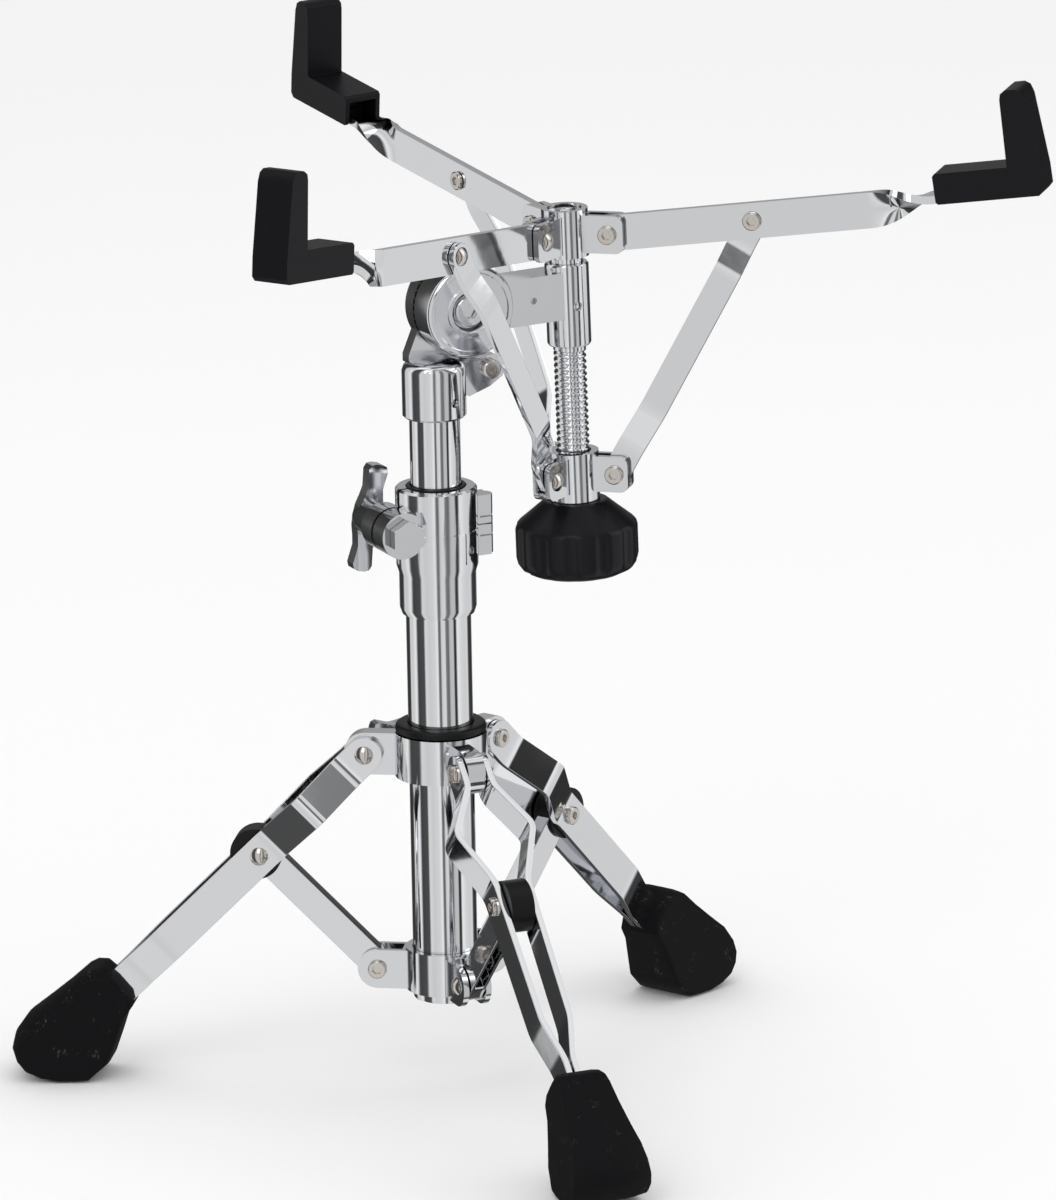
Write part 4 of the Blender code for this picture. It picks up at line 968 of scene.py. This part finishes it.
def show_knob(stand):
    """The round knob, with grip flutes round its rim."""
    frame = basket_frame()
    count = 144
    per_flute = 12
    profile = [(12.6, -120.5, 0.0), (14.5, -121.3, 0.0), (20.0, -126.0, 0.0), (25.6, -130.6, 0.15),
               (26.6, -131.8, 0.5), (27.0, -133.4, 0.9), (27.0, -146.0, 1.0), (26.4, -148.6, 0.9),
               (24.6, -151.2, 0.6), (21.5, -152.8, 0.2), (19.0, -153.2, 0.0)]
    bm = bmesh.new()
    rings = []
    for radius, z, flute in profile:
        ring = []
        for i in range(count):
            wave = math.cos(2 * math.pi * (i % per_flute) / per_flute)
            dip = 1.25 * flute * max(0.0, wave) ** 0.7
            x, y = polar(radius - dip, 2 * math.pi * i / count)
            ring.append(bm.verts.new((x * MM, y * MM, z * MM)))
        rings.append(ring)
    skin(bm, rings, False)
    bm.faces.new(rings[0])
    bm.faces.new(rings[-1])
    knob = mesh_object("basket_knob", bm, frame)
    cut(knob, cylinder("knob_bore", ROD_RADIUS + 2 * GAP, ROD_BOTTOM - 20 * MM, KNOB_TOP + 5 * MM, frame))
    stand.show(knob, "basket_knob", "knob", 0.0)


# ---------------------------------------------------------------- stage, light and camera

def build_floor():
    mat, _, _, shader = new_material("floor")
    shader.inputs["Base Color"].default_value = (0.93, 0.93, 0.93, 1.0)
    shader.inputs["Roughness"].default_value = 0.9
    mesh = bpy.data.meshes.new("floor")
    size = 30.0
    corners = [(-size, -size, 0), (size, -size, 0), (size, size, 0), (-size, size, 0)]
    mesh.from_pydata(corners, [], [(0, 1, 2, 3)])
    mesh.materials.append(mat)
    floor = bpy.data.objects.new("floor", mesh)
    floor.location.z = -0.0002
    floor.visible_glossy = False
    bpy.context.scene.collection.objects.link(floor)


def build_world():
    """A white studio that mirrors show with dark upright bands between its light panels."""
    world = bpy.data.worlds.new("studio")
    bpy.context.scene.world = world
    world.use_nodes = True
    nodes = world.node_tree.nodes
    links = world.node_tree.links
    nodes.clear()
    output = nodes.new("ShaderNodeOutputWorld")
    mix = nodes.new("ShaderNodeMixShader")
    path = nodes.new("ShaderNodeLightPath")
    plain = nodes.new("ShaderNodeBackground")
    plain.inputs["Color"].default_value = (1.0, 1.0, 1.0, 1.0)
    plain.inputs["Strength"].default_value = 0.93
    bands = nodes.new("ShaderNodeBackground")
    bands.inputs["Strength"].default_value = 1.0
    coordinates = nodes.new("ShaderNodeTexCoord")
    split = nodes.new("ShaderNodeSeparateXYZ")
    heading = nodes.new("ShaderNodeMath")
    heading.operation = "ARCTAN2"
    share = nodes.new("ShaderNodeMapRange")
    share.inputs["From Min"].default_value = -math.pi
    share.inputs["From Max"].default_value = math.pi
    ramp = nodes.new("ShaderNodeValToRGB")
    fill_band_ramp(ramp.color_ramp)
    links.new(coordinates.outputs["Generated"], split.inputs["Vector"])
    links.new(split.outputs["Y"], heading.inputs[0])
    links.new(split.outputs["X"], heading.inputs[1])
    links.new(heading.outputs["Value"], share.inputs["Value"])
    links.new(share.outputs["Result"], ramp.inputs["Fac"])
    links.new(ramp.outputs["Color"], bands.inputs["Color"])
    links.new(path.outputs["Is Glossy Ray"], mix.inputs["Fac"])
    links.new(plain.outputs["Background"], mix.inputs[1])
    links.new(bands.outputs["Background"], mix.inputs[2])
    links.new(mix.outputs["Shader"], output.inputs["Surface"])


def fill_band_ramp(ramp):
    """Light and dark by heading, as shares of a full turn from -X through -Y, +X and +Y."""
    stops = [(0.0, 0.08), (0.03, 0.08), (0.045, 0.85), (0.085, 0.72), (0.14, 0.8), (0.168, 1.0),
             (0.178, 0.2), (0.195, 0.15), (0.205, 0.75), (0.24, 0.85), (0.25, 0.25), (0.275, 0.15),
             (0.29, 0.6), (0.325, 0.65), (0.335, 0.04), (0.355, 0.03), (0.37, 1.0), (0.42, 0.8),
             (0.475, 0.75), (0.505, 0.85), (0.53, 0.06), (0.6, 0.03), (0.68, 0.4), (0.76, 0.03),
             (0.83, 0.06), (0.845, 0.8), (0.88, 0.7), (0.93, 1.0), (0.955, 0.06), (1.0, 0.08)]
    while len(ramp.elements) > 2:
        ramp.elements.remove(ramp.elements[-1])
    for i, (position, value) in enumerate(stops):
        if i == 0:
            element = ramp.elements[0]
            element.position = position
        elif i == len(stops) - 1:
            element = ramp.elements[len(ramp.elements) - 1]
            element.position = position
        else:
            element = ramp.elements.new(position)
        element.color = (value, value, value, 1.0)


def area_light(name, location, target, size, power):
    light = bpy.data.lights.new(name, "AREA")
    light.shape = "RECTANGLE"
    light.size = size[0]
    light.size_y = size[1]
    light.energy = power
    obj = bpy.data.objects.new(name, light)
    obj.location = location
    obj.rotation_euler = (Vector(target) - Vector(location)).to_track_quat("-Z", "Y").to_euler()
    bpy.context.scene.collection.objects.link(obj)


def build_lights():
    area_light("key", (-1.6, -1.4, 2.2), (0, 0, 0.2), (1.2, 1.6), 9)
    area_light("fill", (1.9, -1.0, 1.3), (0, 0, 0.2), (0.9, 1.6), 4)
    area_light("top", (0.0, 0.6, 2.8), (0, 0, 0.2), (2.2, 1.6), 7)


def build_camera():
    camera = bpy.data.cameras.new("camera")
    camera.sensor_fit = "HORIZONTAL"
    camera.sensor_width = CAMERA_SENSOR
    camera.lens = CAMERA_LENS
    camera.shift_x = CAMERA_SHIFT_X
    camera.clip_end = 100.0
    azimuth = math.radians(CAMERA_AZIMUTH)
    elevation = math.radians(CAMERA_ELEVATION)
    away = Vector((-math.sin(azimuth) * math.cos(elevation), -math.cos(azimuth) * math.cos(elevation),
                   math.sin(elevation)))
    target = STAND_SHIFT + Vector((0, 0, CAMERA_TARGET_Z))
    location = target + away * CAMERA_DISTANCE
    obj = bpy.data.objects.new("camera", camera)
    obj.matrix_world = (Matrix.Translation(location) @ (-away).to_track_quat("-Z", "Y").to_matrix().to_4x4()
                        @ turned(CAMERA_ROLL))
    bpy.context.scene.collection.objects.link(obj)
    bpy.context.scene.camera = obj


def main():
    stand = Stand()
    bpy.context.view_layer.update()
    show_post(stand)
    show_height_clamp(stand)
    show_collar(stand)
    show_lower_bracket(stand)
    for k, azimuth in enumerate(LEG_AZIMUTHS):
        show_leg(stand, k, azimuth)
        show_brace(stand, k, azimuth)
    show_tilter_base(stand)
    show_tilter_arm(stand)
    show_hubs(stand)
    for k, azimuth in enumerate(ARM_AZIMUTHS):
        show_arm(stand, k, azimuth)
        show_strut(stand, k, azimuth)
    show_knob(stand)
    build_floor()
    build_world()
    build_lights()
    build_camera()
    bpy.context.scene.view_settings.view_transform = "Standard"


main()
